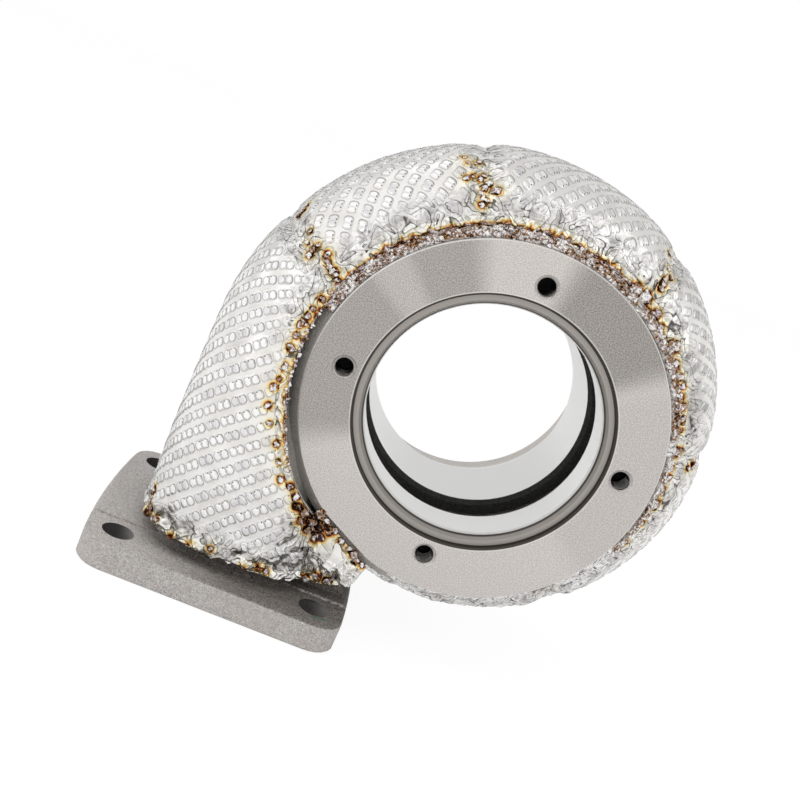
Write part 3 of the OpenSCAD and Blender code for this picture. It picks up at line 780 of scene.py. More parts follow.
def foil_colour(shop, place, jacket):
    """Bright foil with painted highlights and painted shade on its embossing and creases, its heat tints, and the
    heat and cloudiness there.
    """
    heat, crease = shop.value("scorch"), shop.value("crumple")
    cloudy = shop.noise(place, 90.0, 4.0)
    bright, grey, speck, dull = emboss_shades(shop)
    # Contour bands of a soft noise give painted highlights and painted shade: the bright and dark swirls in crumpled
    # foil
    wide = (shop.noise(place, 92.0, 1.4, 0.5, twist=0.9) * 7.0).fract()
    small = (shop.noise(place, 160.0, 1.0, 0.5, twist=1.2) * 4.0).fract()
    crease_shade = (wide.between(0.80, 0.93, 0.95, 1.0) + wide.ramp(0.25, 0.95) * 0.35) * crease
    crease_shade = crease_shade + small.between(0.35, 0.88, 0.93, 1.0) * crease.ramp(0.3, 0.9) * 0.5
    land = shop.blend(jacket.land_colour, rgb(234, 231, 227), cloudy.ramp(0.35, 0.7))
    top = shop.blend(jacket.pillow_colour, rgb(204, 200, 204), dull)
    # Painted shade: darker pillow tops on the gore on the far right
    top = shop.blend(top, rgb(128, 125, 126), shop.value("far") * (0.10 + 0.45 * cloudy.ramp(0.35, 0.65)))
    # Painted highlights on lobes and creases, then painted shade in outlines, creases and specks
    colour = shop.blend(land, top, (bright + wide.below(0.2, 0.6) * crease * 0.7).clamp())
    colour = shop.blend(colour, jacket.outline_shade_colour, (grey * 0.75).clamp())
    colour = shop.blend(colour, rgb(100, 97, 95), (crease_shade * 0.75).clamp())
    colour = shop.blend(colour, rgb(60, 56, 53), speck * 0.85)
    warm = shop.tint(HEAT_STOPS, (heat + (cloudy - 0.5) * 0.16 * heat.ramp(0.05, 0.3)).clamp())
    return shop.blend(colour, warm, 1.0, "MULTIPLY"), heat, cloudy


def crust_colour(shop, place, tone):
    """Fine burnt grains of brown, gold, lilac grey and white, and the noise that picks them."""
    patch = shop.noise(place, 760.0, 4.0, 0.7)
    wide = shop.noise(place, 210.0, 2.0)
    return shop.tint(CRUST_STOPS, (tone + (patch - 0.5) * 3.1 + (wide - 0.5) * 1.8).clamp()), patch


def foil_finish(name, jacket, wrinkle):
    """Embossed stainless foil with its welded crusts; the panels and the folded edges each have one."""
    shop = Finish(name)
    place = shop.place()
    colour, heat, cloudy = foil_colour(shop, place, jacket)
    burnt = shop.value("crust")
    grains, patch = crust_colour(shop, place, 0.51)
    # Grey band by the ring, picked by the shade attribute: partly the grey ledge, partly painted shade
    ledge_and_shade = shop.blend(rgb(92, 88, 85), rgb(188, 184, 180), patch.ramp(0.35, 0.65))
    colour = shop.blend(colour, shop.blend(grains, ledge_and_shade, shop.value("shade")), burnt)
    height = shop.noise(place, 240.0, 3.0, 0.6) * wrinkle + patch * burnt * 1.6
    rough = 0.20 + cloudy * 0.10 + heat.ramp(0.35, 0.9) * 0.2
    return shop.finish({"Base Color": colour, "Metallic": 1.0, "Roughness": rough,
                        "Normal": shop.bump(height, 0.0004)})


def weld_finish():
    """Burnt beads of weld metal."""
    shop = Finish("weld_bead")
    place = shop.place()
    grain = shop.noise(place, 1500.0, 3.0)
    colour, patch = crust_colour(shop, place, shop.value("tone"))
    return shop.finish({"Base Color": colour, "Metallic": 1.0, "Roughness": 0.14 + grain * 0.3,
                        "Normal": shop.bump(grain * 0.5 + patch, 0.0006)})


def mat_finish(jacket):
    """Needled ceramic fibre."""
    shop = Finish("needled_fibre")
    fibre = shop.noise(shop.place(), 700.0, 6.0, 0.7)
    return shop.finish({"Base Color": shop.blend(rgb(206, 200, 186), jacket.mat_colour, fibre), "Roughness": 0.95,
                        "Normal": shop.bump(fibre, 0.0008)})


def thread_finish():
    """Cut steel of the tapped holes' threads."""
    shop = Finish("cut_thread")
    grain = shop.noise(shop.place(), 1200.0, 2.0)
    return shop.finish({"Base Color": shop.blend(rgb(120, 116, 112), rgb(196, 192, 188), grain), "Metallic": 1.0,
                        "Roughness": 0.3})


# Turned radii, and depths of the throat slot behind the ring face
RING_EDGE, REGISTER_R, BORE_R, THROAT_R = 80.4, 56.9, 51.7, 49.0
SLOT_FRONT, SLOT_REAR = 27.6, 45.6
# Painted reflection on the turned ring face: darker sectors and one brighter beam; middle sweep angle, half width and
# soft edge in degrees, and grey level
REFLECTION_SECTORS = ((20.0, 46.0, 6.0, 158), (119.0, 22.0, 6.0, 134), (180.0, 34.0, 6.0, 206), (37.0, 3.0, 3.0, 196))


def turned_colour(shop, casting, dx, dz, radius, depth, grain, face, bore):
    """Turned iron of the ring and the bore, with painted reflection in sectors, painted highlights on the rims, the
    recess, painted shade in its grooves, and a painted sheen on the shroud.
    """
    metal = casting.turned_colour
    for middle, half, soft, level in REFLECTION_SECTORS:
        turn = math.radians(180.0 - middle)
        toward = (dx * math.cos(turn) + dz * math.sin(turn)) / radius
        full, none = math.cos(math.radians(half - soft)), math.cos(math.radians(half + 6.0))
        metal = shop.blend(metal, rgb(level, level - 6, level - 11), toward.ramp(none, full) * face)
    metal = shop.blend(metal, shop.blend(rgb(116, 110, 104), rgb(255, 250, 245), grain.ramp(0.3, 0.7)), 0.38)
    # Painted highlights: thin bright lines at the ring face's outer edge and beside the register
    rim_highlight = radius.ramp(RING_EDGE - 0.7, RING_EDGE - 0.5)
    rim_highlight = rim_highlight + radius.between(REGISTER_R + 0.5, REGISTER_R + 0.7, REGISTER_R + 1.1, REGISTER_R + 1.4)
    metal = shop.blend(metal, rgb(246, 242, 238), face * rim_highlight.clamp() * 0.55)
    recess = bore * radius.ramp(BORE_R + 0.4, BORE_R + 0.7) * depth.below(SLOT_FRONT - 1.6, SLOT_FRONT - 1.2)
    metal = shop.blend(metal, rgb(174, 168, 162), recess)
    # Painted shade: darker on the register's wall and where the recess meets the bore
    groove = radius.ramp(REGISTER_R - 0.7, REGISTER_R - 0.3) + radius.below(BORE_R + 0.9, BORE_R + 1.5)
    metal = shop.blend(metal, rgb(74, 68, 63), recess * groove.clamp())
    # Polished shroud and bore wall, brightened to white as a painted sheen
    polish_and_sheen = bore * radius.between(THROAT_R - 1.0, THROAT_R - 0.6, BORE_R + 0.3, BORE_R + 0.7)
    return shop.blend(metal, rgb(255, 255, 254), polish_and_sheen)


def blasted_colour(shop, casting, x, y, z, spark, speck, cloud):
    """Blasted skin of the inlet plate: sparkle, painted shadow on its top by the neck, painted shade in the bolt
    holes, a painted highlight on the step line, and a paint mark.
    """
    colour = shop.blend(casting.skin_colour, rgb(255, 250, 246), spark)
    colour = shop.blend(colour, rgb(196, 188, 182), cloud.ramp(0.35, 0.7) * 0.3)
    # Painted shadow on the plate's top: darker to the right and in front of the neck's foot, with the sparkle kept
    top = z.between(11.8, 12.6, 24.0, 26.0)
    burnt = 0.14 + 0.76 * x.ramp(-40.0, 18.0) + 0.55 * y.ramp(-54.0, -43.0) * x.ramp(-48.0, -20.0)
    shadow_colour = shop.blend(rgb(44, 39, 36), rgb(176, 168, 160), (spark * 1.3 - 0.3).clamp())
    colour = shop.blend(colour, shadow_colour, top * burnt.clamp())
    # Painted shade inside the bolt holes, darkest on one side and lighter towards +x; the mask takes no account of
    # height
    off_x, off_y = abs(x) - BOLT_AT, abs(y) - BOLT_AT
    hole = ((off_x * off_x + off_y * off_y) ** 0.5).below(BOLT_R - 0.05, BOLT_R + 0.15)
    wall = (x - BOLT_AT * (x / abs(x))).ramp(-2.0, 8.0)
    colour = shop.blend(colour, shop.blend(rgb(30, 29, 29), rgb(150, 147, 145), wall), hole)
    # Painted highlight along the edge of the step on the plate's top
    step = abs(y - STEP_Y).below(0.1, 0.4) * x.ramp(36.0, 40.0) * top
    colour = shop.blend(colour, rgb(196, 192, 188), step * speck.ramp(0.40, 0.55))
    # Paint mark in front of the near bolt hole on the right
    streak = abs(y - 0.25 * x + 66.5).below(0.3, 1.6) * x.between(43.0, 46.0, 51.0, 54.0)
    return shop.blend(colour, casting.mark_colour, streak * speck.ramp(0.42, 0.54) * top * 0.9)


def casting_finish(casting):
    """Blasted casting, with turned faces where the tool has been."""
    shop = Finish("blasted_iron")
    place = shop.place()
    x, y, z = (w / MM for w in shop.split(place))
    dx, dz, depth = x - AXIS_X, z - AXIS_Z, y - FACE_Y
    radius = (dx * dx + dz * dz) ** 0.5
    grain = shop.noise(place, 1900.0, 2.0, 0.7)
    speck = shop.noise(place, 800.0, 3.0, 0.65)
    cloud = shop.noise(place, 45.0, 3.0)
    # Masks: turned ring face, bore, throat slot (painted shade), the cast skin round the ring (painted lighter), and
    # the tapped holes (painted shade)
    face = depth.below(0.4, 0.9) * radius.below(RING_EDGE + 0.2, RING_EDGE + 0.4)
    bore = radius.below(REGISTER_R + 0.6, REGISTER_R + 0.9)
    slot = depth.between(SLOT_FRONT - 1.0, SLOT_FRONT - 0.2, SLOT_REAR + 1.8, SLOT_REAR + 2.4)
    slot = bore * slot * radius.ramp(THROAT_R + 0.4, THROAT_R + 0.8)
    turned = (face + bore).clamp() * (1.0 - slot)
    skirt = radius.between(RING_EDGE - 0.6, RING_EDGE - 0.4, 94.0, 98.0) * depth.ramp(0.4, 0.6) * z.ramp(28.0, 32.0)
    tapped = depth.between(1.1, 1.6, HOLE_DEPTH - 0.4, HOLE_DEPTH)
    tapped = tapped * radius.between(HOLE_CIRCLE - 6.0, HOLE_CIRCLE - 5.6, HOLE_CIRCLE + 6.0, HOLE_CIRCLE + 6.4)
    spark = (grain * 1.5 + speck * 0.7 - 0.6).clamp()
    blasted = blasted_colour(shop, casting, x, y, z, spark, speck, cloud)
    # Cast skin round the ring: its greys raised as painted light against the shade in the gap, and lighter still
    # below 70 to 110 mm height
    dark = shop.blend(rgb(104, 100, 97), rgb(222, 218, 214), (grain * 1.2 + speck * 0.5 - 0.4).clamp())
    dark = shop.blend(dark, rgb(224, 218, 212), z.below(70.0, 110.0) * 0.5)
    colour = shop.blend(blasted, dark, skirt.clamp())
    # Painted shade in the throat slot: near black, with grains
    colour = shop.blend(colour, shop.blend(rgb(16, 15, 15), rgb(70, 68, 66), (speck * 1.6 - 0.6).clamp()), slot)
    colour = shop.blend(colour, turned_colour(shop, casting, dx, dz, radius, depth, grain, face, bore), turned)
    # Painted shade inside the tapped holes
    colour = shop.blend(colour, rgb(26, 25, 25), tapped)
    rings = shop.noise(shop.node("ShaderNodeCombineXYZ", {}, {0: radius, 1: depth}), 2.6, 1.0)
    height = grain * (1.0 - turned * 0.8) + rings * turned * 0.12
    return shop.finish({"Base Color": colour, "Metallic": turned * 0.55 + 0.05, "Roughness": 0.62 - turned * 0.22,
                        "Normal": shop.bump(height, 0.00035)})


def dress(obj, material, slot_name, *nodes):
    """Gives a piece its material and body, and hides the nodes it stands for; the slot name is not used."""
    obj.data.materials.append(material)
    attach(obj, ROOT)
    if nodes:
        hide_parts(*nodes)
    return obj


def foil_panel(name, node, u0, u1, seed, spots, material, pitch, rise):
    """Embossed panel between two path positions."""
    path = np.linspace(u0, u1, grid_count(u1 - u0, pitch))
    _, arcs = arc_table(path)
    t, v, base = sheet_rows(path, grid_count(np.max(arcs[:, -1] - arcs[:, 0]), pitch))
    u, front_gap = path[:, None] + 0 * v, v - v[:, :1]
    n = grid_normals(base)
    corner = smooth((base[..., 0] - 13.0) / 11.0) * smooth((70.0 - base[..., 2]) / 16.0) * (t < 0)
    corner = np.maximum(corner, smooth((34.0 - base[..., 2]) / 9.0))
    height, share, creased, a, b = foil_relief(u, v, front_gap, v[:, -1:] - v, corner, seed, rise)
    outer = base + n * height[..., None]
    obj = closed_sheet(name, outer, base - n * SHEET)
    paint_sheet(obj, scorch=np.maximum(heat_field(outer, spots, seed), edge_scorch(u, front_gap)), emboss=share,
                crumple=creased, emboss_a=a, emboss_b=b,
                lobes=np.full(share.shape, NECK_GAP if seed == NECK_SEED else GORE_GAP),
                far=np.full(share.shape, 1.0 if seed == FAR_SEED else 0.0))
    return dress(obj, material, "embossed_foil", node)


def jacket_band(name, path, first_gap, last_gap, count, height, seed, spots, crust=None, sway=None):
    """Narrow crumpled band over the panels. The gaps run across the jacket, in millimetres from its front edge,
    or from its rear one where they are below zero; None goes all the way."""
    u = np.asarray(path, float)
    t, v = arc_table(u)
    if first_gap is None:
        low, high = v[:, :1], v[:, -1:]
    else:
        edge = v[:, -1:] if first_gap < 0 else v[:, :1]
        low, high = edge + first_gap, edge + last_gap
    want = mix(low, high, np.linspace(0.0, 1.0, count))
    angle = np.stack([np.interp(w, a, b) for w, a, b in zip(want, v, t)])
    base = jacket_point(u[:, None], angle, jacket_depth(u)[:, None])
    n = grid_normals(base)
    u, gap = u[:, None] + 0 * want, want - want[:, :1]
    outer = base + n * height(u, want)[..., None]
    if sway:
        outer[..., 2] += sway(u, want)
    obj = closed_sheet(name, outer, outer - n * 0.7)
    heat, burnt = heat_field(outer, spots, seed), np.zeros(want.shape)
    if crust:
        heat, burnt = np.maximum(heat, edge_scorch(u, gap)), crust(u, gap)
    paint_sheet(obj, scorch=heat, crumple=np.ones(want.shape), crust=burnt)
    return obj


def lap(share, rise):
    """Profile of a folded hem: up from the panel at both sides, rise in the middle."""
    return rise * smooth(4.0 * np.minimum(np.clip(share, 0, 1), 1.0 - np.clip(share, 0, 1))) - 0.5


def shares(count):
    """Even shares along a row, from 0 to 1."""
    return np.linspace(0.0, 1.0, count)[None]


def seam_laps(material, spots, pitch, half=1.8):
    """Lapped foil over each seam, half as wide on the last."""
    for k, q in enumerate(SEAMS):
        seam = path_of(q)
        path = seam + np.linspace(-half, half, 9)

        def height(u, v, seam=seam, seed=70 + k):
            ragged = (u - seam) / half + 0.35 * noise(v / 4.0, u / 9.0, seed)
            return lap(0.5 + 0.5 * ragged, 0.35) + 0.4 * facets(v / 3.5, u / 2.5, seed + 1)

        if q == SWEEP_END:
            path = path[:5]
        length = arc_table(np.array([seam]))[1]
        count = grid_count(length[0, -1] - length[0, 0] - 2.0, pitch)
        obj = jacket_band("seam_lap_%d" % (k + 1), path, None, None, count, height, 80 + k, spots)
        dress(obj, material, "welded_strip", "seam_strip_%d" % (k + 1))


def edge_hem(name, node, low, first_gap, last_gap, seed, pitch, material, spots, crust=None):
    """Crushed hem along the foil's front or rear edge, up the neck and round the scroll."""
    high = path_of(SWEEP_END)

    def height(u, v):
        share = shares(u.shape[1]) + 0.12 * noise(u / 3.0, v / 30.0, seed)
        rough = 0.25 * noise(u / 1.1, v / 1.1, seed + 2) + 0.4 * facets(u / 3.0, v / 2.5, seed + 1)
        return lap(share, 1.2) + rough

    path = np.linspace(low, high, grid_count(high - low, pitch))
    obj = jacket_band(name, path, first_gap, last_gap, 13, height, seed, spots, crust)
    dress(obj, material, "welded_strip", node)


def ring_weld(material):
    """Edge of foil and crust that climbs to the ring, grey by the ring within the crusts, partly painted shade."""
    grid, n, welded = edge_fillet()
    i, j = np.meshgrid(np.arange(grid.shape[0]) * FILLET_PITCH, np.linspace(0.0, 10.0, FILLET_ROWS), indexing="ij")
    lumps = 0.35 * noise(i / 1.0, j / 1.0, 41) + 0.45 * noise(i / 2.3, j / 2.0, 42)
    lumps = mix(0.6 * facets(i / 3.5, j / 3.0, 44), lumps, welded) * smooth((10.0 - j) / 2.0)
    obj = closed_sheet("ring_weld", grid + n * lumps[..., None], grid - n * 0.9)
    ragged = j + 1.2 * noise(i / 2.5, j / 2.5, 43)
    crust = welded * smooth((ragged - 4.0 * smooth((i - 178.0) / 20.0)) / 0.5)
    paint_sheet(obj, crust=crust, shade=crust * smooth((ragged - 8.4) / 1.4), crumple=np.ones(i.shape),
                scorch=0.5 * (1.0 - crust) * smooth(0.4 + noise(i / 6.0, j / 6.0, 45)) * welded)
    dress(obj, material, "welded_strip")


def foot_hem(material, spots, pitch):
    """Crumpled edge of the foil above the inlet plate."""
    def height(u, v):
        share = (u - FOOT_Z + 0.5) / 5.5 + 0.25 * noise(v / 4.0, u / 7.0, 95)
        rough = 1.5 * facets(v / 4.5, u / 3.5, 96) + 0.9 * folds(v / 5.5, u / 6.0, 97)
        return lap(share, 1.3) + rough

    def sway(u, v):
        return 1.3 * noise(v / 4.0, u / 30.0, 98) - 0.3

    foot = np.linspace(FOOT_Z - 0.5, FOOT_Z + 5.0, 13)
    length = arc_table(np.array([FOOT_Z]))[1]
    count = grid_count(length[0, -1] - length[0, 0], pitch)
    obj = jacket_band("neck_foot_hem", foot, None, None, count, height, 97, spots, sway=sway)
    dress(obj, material, "welded_strip", "neck_foot_strip")


def corner_hem(side, spots, pitch):
    """Folded seam of the gusset on the neck's front corner (side -1) or rear one (side 1)."""
    def height(u, v):
        share = shares(u.shape[1]) + 0.15 * noise(u / 4.0, v / 9.0, 98 + side)
        return lap(share, 1.2) + 0.6 * folds(u / 5.0, v / 4.0, 99 + side)

    top = FRONT_LEAVE if side < 0 else REAR_LEAVE
    path = np.linspace(FOOT_Z + 5.0, top - 4.0, grid_count(top - FOOT_Z - 9.0, pitch))
    gaps = (0.1, 4.1) if side < 0 else (-4.1, -0.1)
    return jacket_band("gusset_corner_hem", path, *gaps, 9, height, 98 + side, spots)


def gusset_piece(name, base, n, relief, seed, crumple, spots, material, *nodes):
    """Crumpled sheet of the gusset over a grid."""
    outer = base + n * relief[..., None]
    obj = closed_sheet(name, outer, base - n * SHEET)
    paint_sheet(obj, scorch=heat_field(outer, spots, seed), crumple=np.full(relief.shape, crumple))
    dress(obj, material, "embossed_foil", *nodes)


def thread_crest(q):
    """Points and faces of one hole's helical thread, at a sweep angle of the ring."""
    turns, steps = 7, 40
    a = math.radians(180.0 - q)
    middle = np.array([AXIS_X + HOLE_CIRCLE * math.cos(a), 0.0, AXIS_Z + HOLE_CIRCLE * math.sin(a)])
    k = np.arange(turns * steps + 1)
    turn, depth = 2 * math.pi * k / steps, FACE_Y + 1.6 + THREAD_PITCH * k / steps
    rings = [np.stack([r * np.cos(turn), depth + lift, r * np.sin(turn)], 1) + middle
             for r, lift in ((HOLE_R + 0.05, -0.55), (HOLE_R - 0.45, 0.0), (HOLE_R + 0.05, 0.55))]
    faces = [[3 * m + c, 3 * m + (c + 1) % 3, 3 * m + 3 + (c + 1) % 3, 3 * m + 3 + c]
             for m in range(len(k) - 1) for c in range(3)]
    faces += [[0, 2, 1], [3 * len(k) - 3, 3 * len(k) - 2, 3 * len(k) - 1]]
    return np.stack(rings, 1).reshape(-1, 3), faces


def colour_of(name, description, *screen):
    """Colour property with a default in screen values of 0 to 255."""
    return bpy.props.FloatVectorProperty(name=name, description=description, subtype="COLOR", size=4, min=0.0,
                                         max=1.0, default=rgb(*screen))


class HousingJacket(bpy.types.PropertyGroup):
    """Sizes and colours of the foil jacket and its mats"""
    mesh_pitch: bpy.props.FloatProperty(
        name="Mesh pitch", description="Spacing of the foil's grid points", default=0.00056, min=0.0004, max=0.002,
        precision=5, unit="LENGTH")
    pillow_height: bpy.props.FloatProperty(
        name="Pillow height", description="Height of the embossed pillows over the foil", default=0.00055, min=0.0,
        max=0.0015, precision=5, unit="LENGTH")
    wrinkle: bpy.props.FloatProperty(
        name="Fine wrinkle", description="Depth of the fine creases in the panels", default=0.5, min=0.0, max=1.0,
        subtype="FACTOR")
    hem_wrinkle: bpy.props.FloatProperty(
        name="Fine wrinkle of hems", description="Depth of the fine creases in the folded edges", default=0.8,
        min=0.0, max=1.0, subtype="FACTOR")
    land_colour: colour_of("Foil", "Foil between the pillows", 246, 244, 241)
    # Colours of the painted highlight on the pillows' tops and of the painted shade round each pillow
    pillow_colour: colour_of("Pillows", "Tops of the embossed pillows", 255, 255, 255)
    outline_shade_colour: colour_of("Outlines", "Grey line round each pillow", 124, 122, 121)
    mat_colour: colour_of("Fibre", "Light fibres of the mats under the foil", 236, 232, 222)


class HousingCasting(bpy.types.PropertyGroup):
    """Colours of the cast housing"""
    skin_colour: colour_of("Cast skin", "Dark grains of the blasted skin", 104, 96, 92)
    turned_colour: colour_of("Turned iron", "Turned ring face and bore", 222, 216, 211)
    mark_colour: colour_of("Paint mark", "Small paint mark beside a bolt hole", 24, 104, 84)


class HousingStage(bpy.types.PropertyGroup):
    """Lamps and floor"""
    key_power: bpy.props.FloatProperty(
        name="Key lamp", description="Power of the large lamp above on the left", default=6.5, min=0.0, unit="POWER")
    key_size: bpy.props.FloatProperty(
        name="Key lamp size", description="Side of the large lamp", default=1.6, min=0.1, max=4.0, unit="LENGTH")
    fill_power: bpy.props.FloatProperty(
        name="Fill lamp", description="Power of the soft lamp on the right", default=2.5, min=0.0, unit="POWER")
    fill_size: bpy.props.FloatProperty(
        name="Fill lamp size", description="Side of the soft lamp", default=0.9, min=0.1, max=4.0, unit="LENGTH")
    floor_size: bpy.props.FloatProperty(
        name="Floor", description="Half the side of the white floor", default=3.0, min=0.5, max=10.0, unit="LENGTH")


class HOUSING_OT_casting(bpy.types.Operator):
    """Finish the cast housing: blasted skin, turned ring and bore"""
    bl_idname = "housing.casting"
    bl_label = "Casting"

    def execute(self, context):
        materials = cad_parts["volute_casting"].data.materials
        materials.clear()
        materials.append(casting_finish(context.scene.housing_casting))
        return {"FINISHED"}


class HOUSING_OT_threads(bpy.types.Operator):
    """Cut the thread's crests in the four tapped holes of the ring"""
    bl_idname = "housing.threads"
    bl_label = "Threads"

    def execute(self, context):
        steel = thread_finish()
        for k, q in enumerate(HOLE_SWEEPS):
            dress(link_mesh("thread_%d" % (k + 1), *thread_crest(q)), steel, "cast_iron")
        return {"FINISHED"}


class HOUSING_OT_mats(bpy.types.Operator):
    """Lay the fibre mats under the foil"""
    bl_idname = "housing.mats"
    bl_label = "Fibre mats"

    def execute(self, context):
        material = mat_finish(context.scene.housing_jacket)
        starts = [FOOT_Z + 0.6] + [path_of(q) for q in SEAMS]
        layers = []
        for k, node in enumerate(["neck_mat"] + ["scroll_mat_%d" % (k + 1) for k in range(5)]):
            low, high = starts[k] + 0.4, starts[k + 1] - 0.4
            _, _, base = sheet_rows(np.linspace(low, high, grid_count(high - low, 4.0)), 33)
            layers.append((node, base, 0.5, 3.2))
        layers.append(("gusset_mat", gusset_base(np.linspace(0.0, 1.0, 9), 29), 2.0, 4.5))
        for node, base, top, bottom in layers:
            n = grid_normals(base)
            obj = closed_sheet(node + "_needled", base - n * (SHEET + top), base - n * (SHEET + bottom), step=1)
            dress(obj, material, "fibre_mat", node)
        return {"FINISHED"}


class HOUSING_OT_foil(bpy.types.Operator):
    """Form the embossed foil panels round the neck and the scroll, and the gusset"""
    bl_idname = "housing.foil"
    bl_label = "Embossed foil"

    def execute(self, context):
        jacket = context.scene.housing_jacket
        # The properties are single precision, so their millimetres are rounded back
        pitch = round(jacket.mesh_pitch / MM, 4) * 1.0
        rise = round(jacket.pillow_height / MM, 4)
        material = foil_finish("bright_foil", jacket, jacket.wrinkle)
        spots = all_spots()
        starts = [FOOT_Z] + [path_of(q) for q in SEAMS]
        names = [("neck_jacket", "neck_foil")]
        names += [("scroll_gore_%d" % k, "scroll_foil_%d" % k) for k in range(1, len(SEAMS))]
        for k, (name, node) in enumerate(names):
            foil_panel(name, node, starts[k], starts[k + 1], NECK_SEED + k, spots, material, pitch, rise)
        rows, cols = grid_count(30.0, pitch), grid_count(130.0, pitch)
        base = gusset_base(np.linspace(0.0, 1.0, rows), cols)
        gusset_piece("gusset_jacket", base, grid_normals(base), gusset_relief(rows, cols), 9, 0.35, spots, material,
                     "gusset_foil")
        rows, cols = grid_count(28.0, pitch), grid_count(34.0, pitch)
        base = gusset_apron(rows, cols)
        gusset_piece("gusset_apron", base, facing_front(grid_normals(base)), apron_relief(rows, cols), 10, 0.55,
                     spots, material)
        return {"FINISHED"}


class HOUSING_OT_hems(bpy.types.Operator):
    """Fold the laps over the seams and the hems along the foil's edges"""
    bl_idname = "housing.hems"
    bl_label = "Seams and hems"

    def execute(self, context):
        jacket = context.scene.housing_jacket
        material = foil_finish("folded_foil", jacket, jacket.hem_wrinkle)
        spots = all_spots()
        fine = 0.6 * 1.0
        seam_laps(material, spots, fine)
        for name, node, low, gaps, seed, pitch, crust in (
                ("ring_edge_hem", "ring_edge_strip", FRONT_LEAVE, (0.0, 5.4), 90, fine, edge_crust),
                ("outlet_edge_hem", "outlet_edge_strip", REAR_LEAVE, (-4.6, -0.2), 92, 1.0, None)):
            edge_hem(name, node, low + 2.0, *gaps, seed, pitch, material, spots, crust)
        ring_weld(material)
        foot_hem(material, spots, fine)
        corners = [corner_hem(side, spots, fine) for side in (-1, 1)]
        with context.temp_override(active_object=corners[0], selected_editable_objects=corners):
            bpy.ops.object.join()
        dress(corners[0], material, "welded_strip", "gusset_strip")
        return {"FINISHED"}


class HOUSING_OT_welds(bpy.types.Operator):
    """Set the weld beads along the ring's edge, the seams, the foot and the gusset"""
    bl_idname = "housing.welds"
    bl_label = "Weld beads"

    def execute(self, context):
        material = weld_finish()
        for name, spots, seed, burnt in (("ring_edge_beads", ring_spots(), 21, 0.0),
                                         ("panel_beads", panel_spots(), 22, 0.34),
                                         ("foot_beads", foot_spots(), 23, 0.0),
                                         ("gusset_beads", gusset_spots(), 24, 0.34)):
            dress(bead_mesh(name, *spots[:3], seed, burnt), material, "welded_strip")
        return {"FINISHED"}


# Camera fitted to the photograph: place in metres, its three directions, and the lens on a 36 mm sensor
CAMERA_AT = Vector((-0.00432, -0.55174, 0.24370))
CAMERA_RIGHT = Vector((0.92045, 0.01119, 0.39070))
CAMERA_UP = Vector((-0.37990, 0.26059, 0.88755))
CAMERA_AHEAD = Vector((0.09188, 0.96539, -0.24410))
LENS, SENSOR = 55.83, 36.0
# Lamps, in metres from the object's middle: the large one above on the left, and the soft one on the right
LAMPS_ROUND = Vector((AXIS_X * MM, 0.0, 0.100))
KEY_AT = -0.55 * CAMERA_RIGHT + 0.95 * CAMERA_UP - 0.55 * CAMERA_AHEAD
FILL_AT = 0.9 * CAMERA_RIGHT + 0.35 * CAMERA_UP - 0.8 * CAMERA_AHEAD
# Dimmer wall of the studio, towards its lower right
DIM_WALL = (-0.90 * CAMERA_UP - 0.10 * CAMERA_AHEAD + 0.35 * CAMERA_RIGHT).normalized()
# Level of the studio's light on the object
LEVEL = 0.62
# Floor: height, middle and radii of the dimmer patch that the metal mirrors, and its greys there and beyond
FLOOR_Z, PATCH_X, PATCH_IN, PATCH_OUT, PATCH_GREY, BEYOND_GREY = -0.0002, 0.04, 0.10, 0.34, 0.78, 0.98
# Floor as the camera sees it: grey of its matt part, glow, and the glow's share
FLOOR_GREY, FLOOR_GLOW, GLOW_SHARE = 0.8, 1.1, 0.82


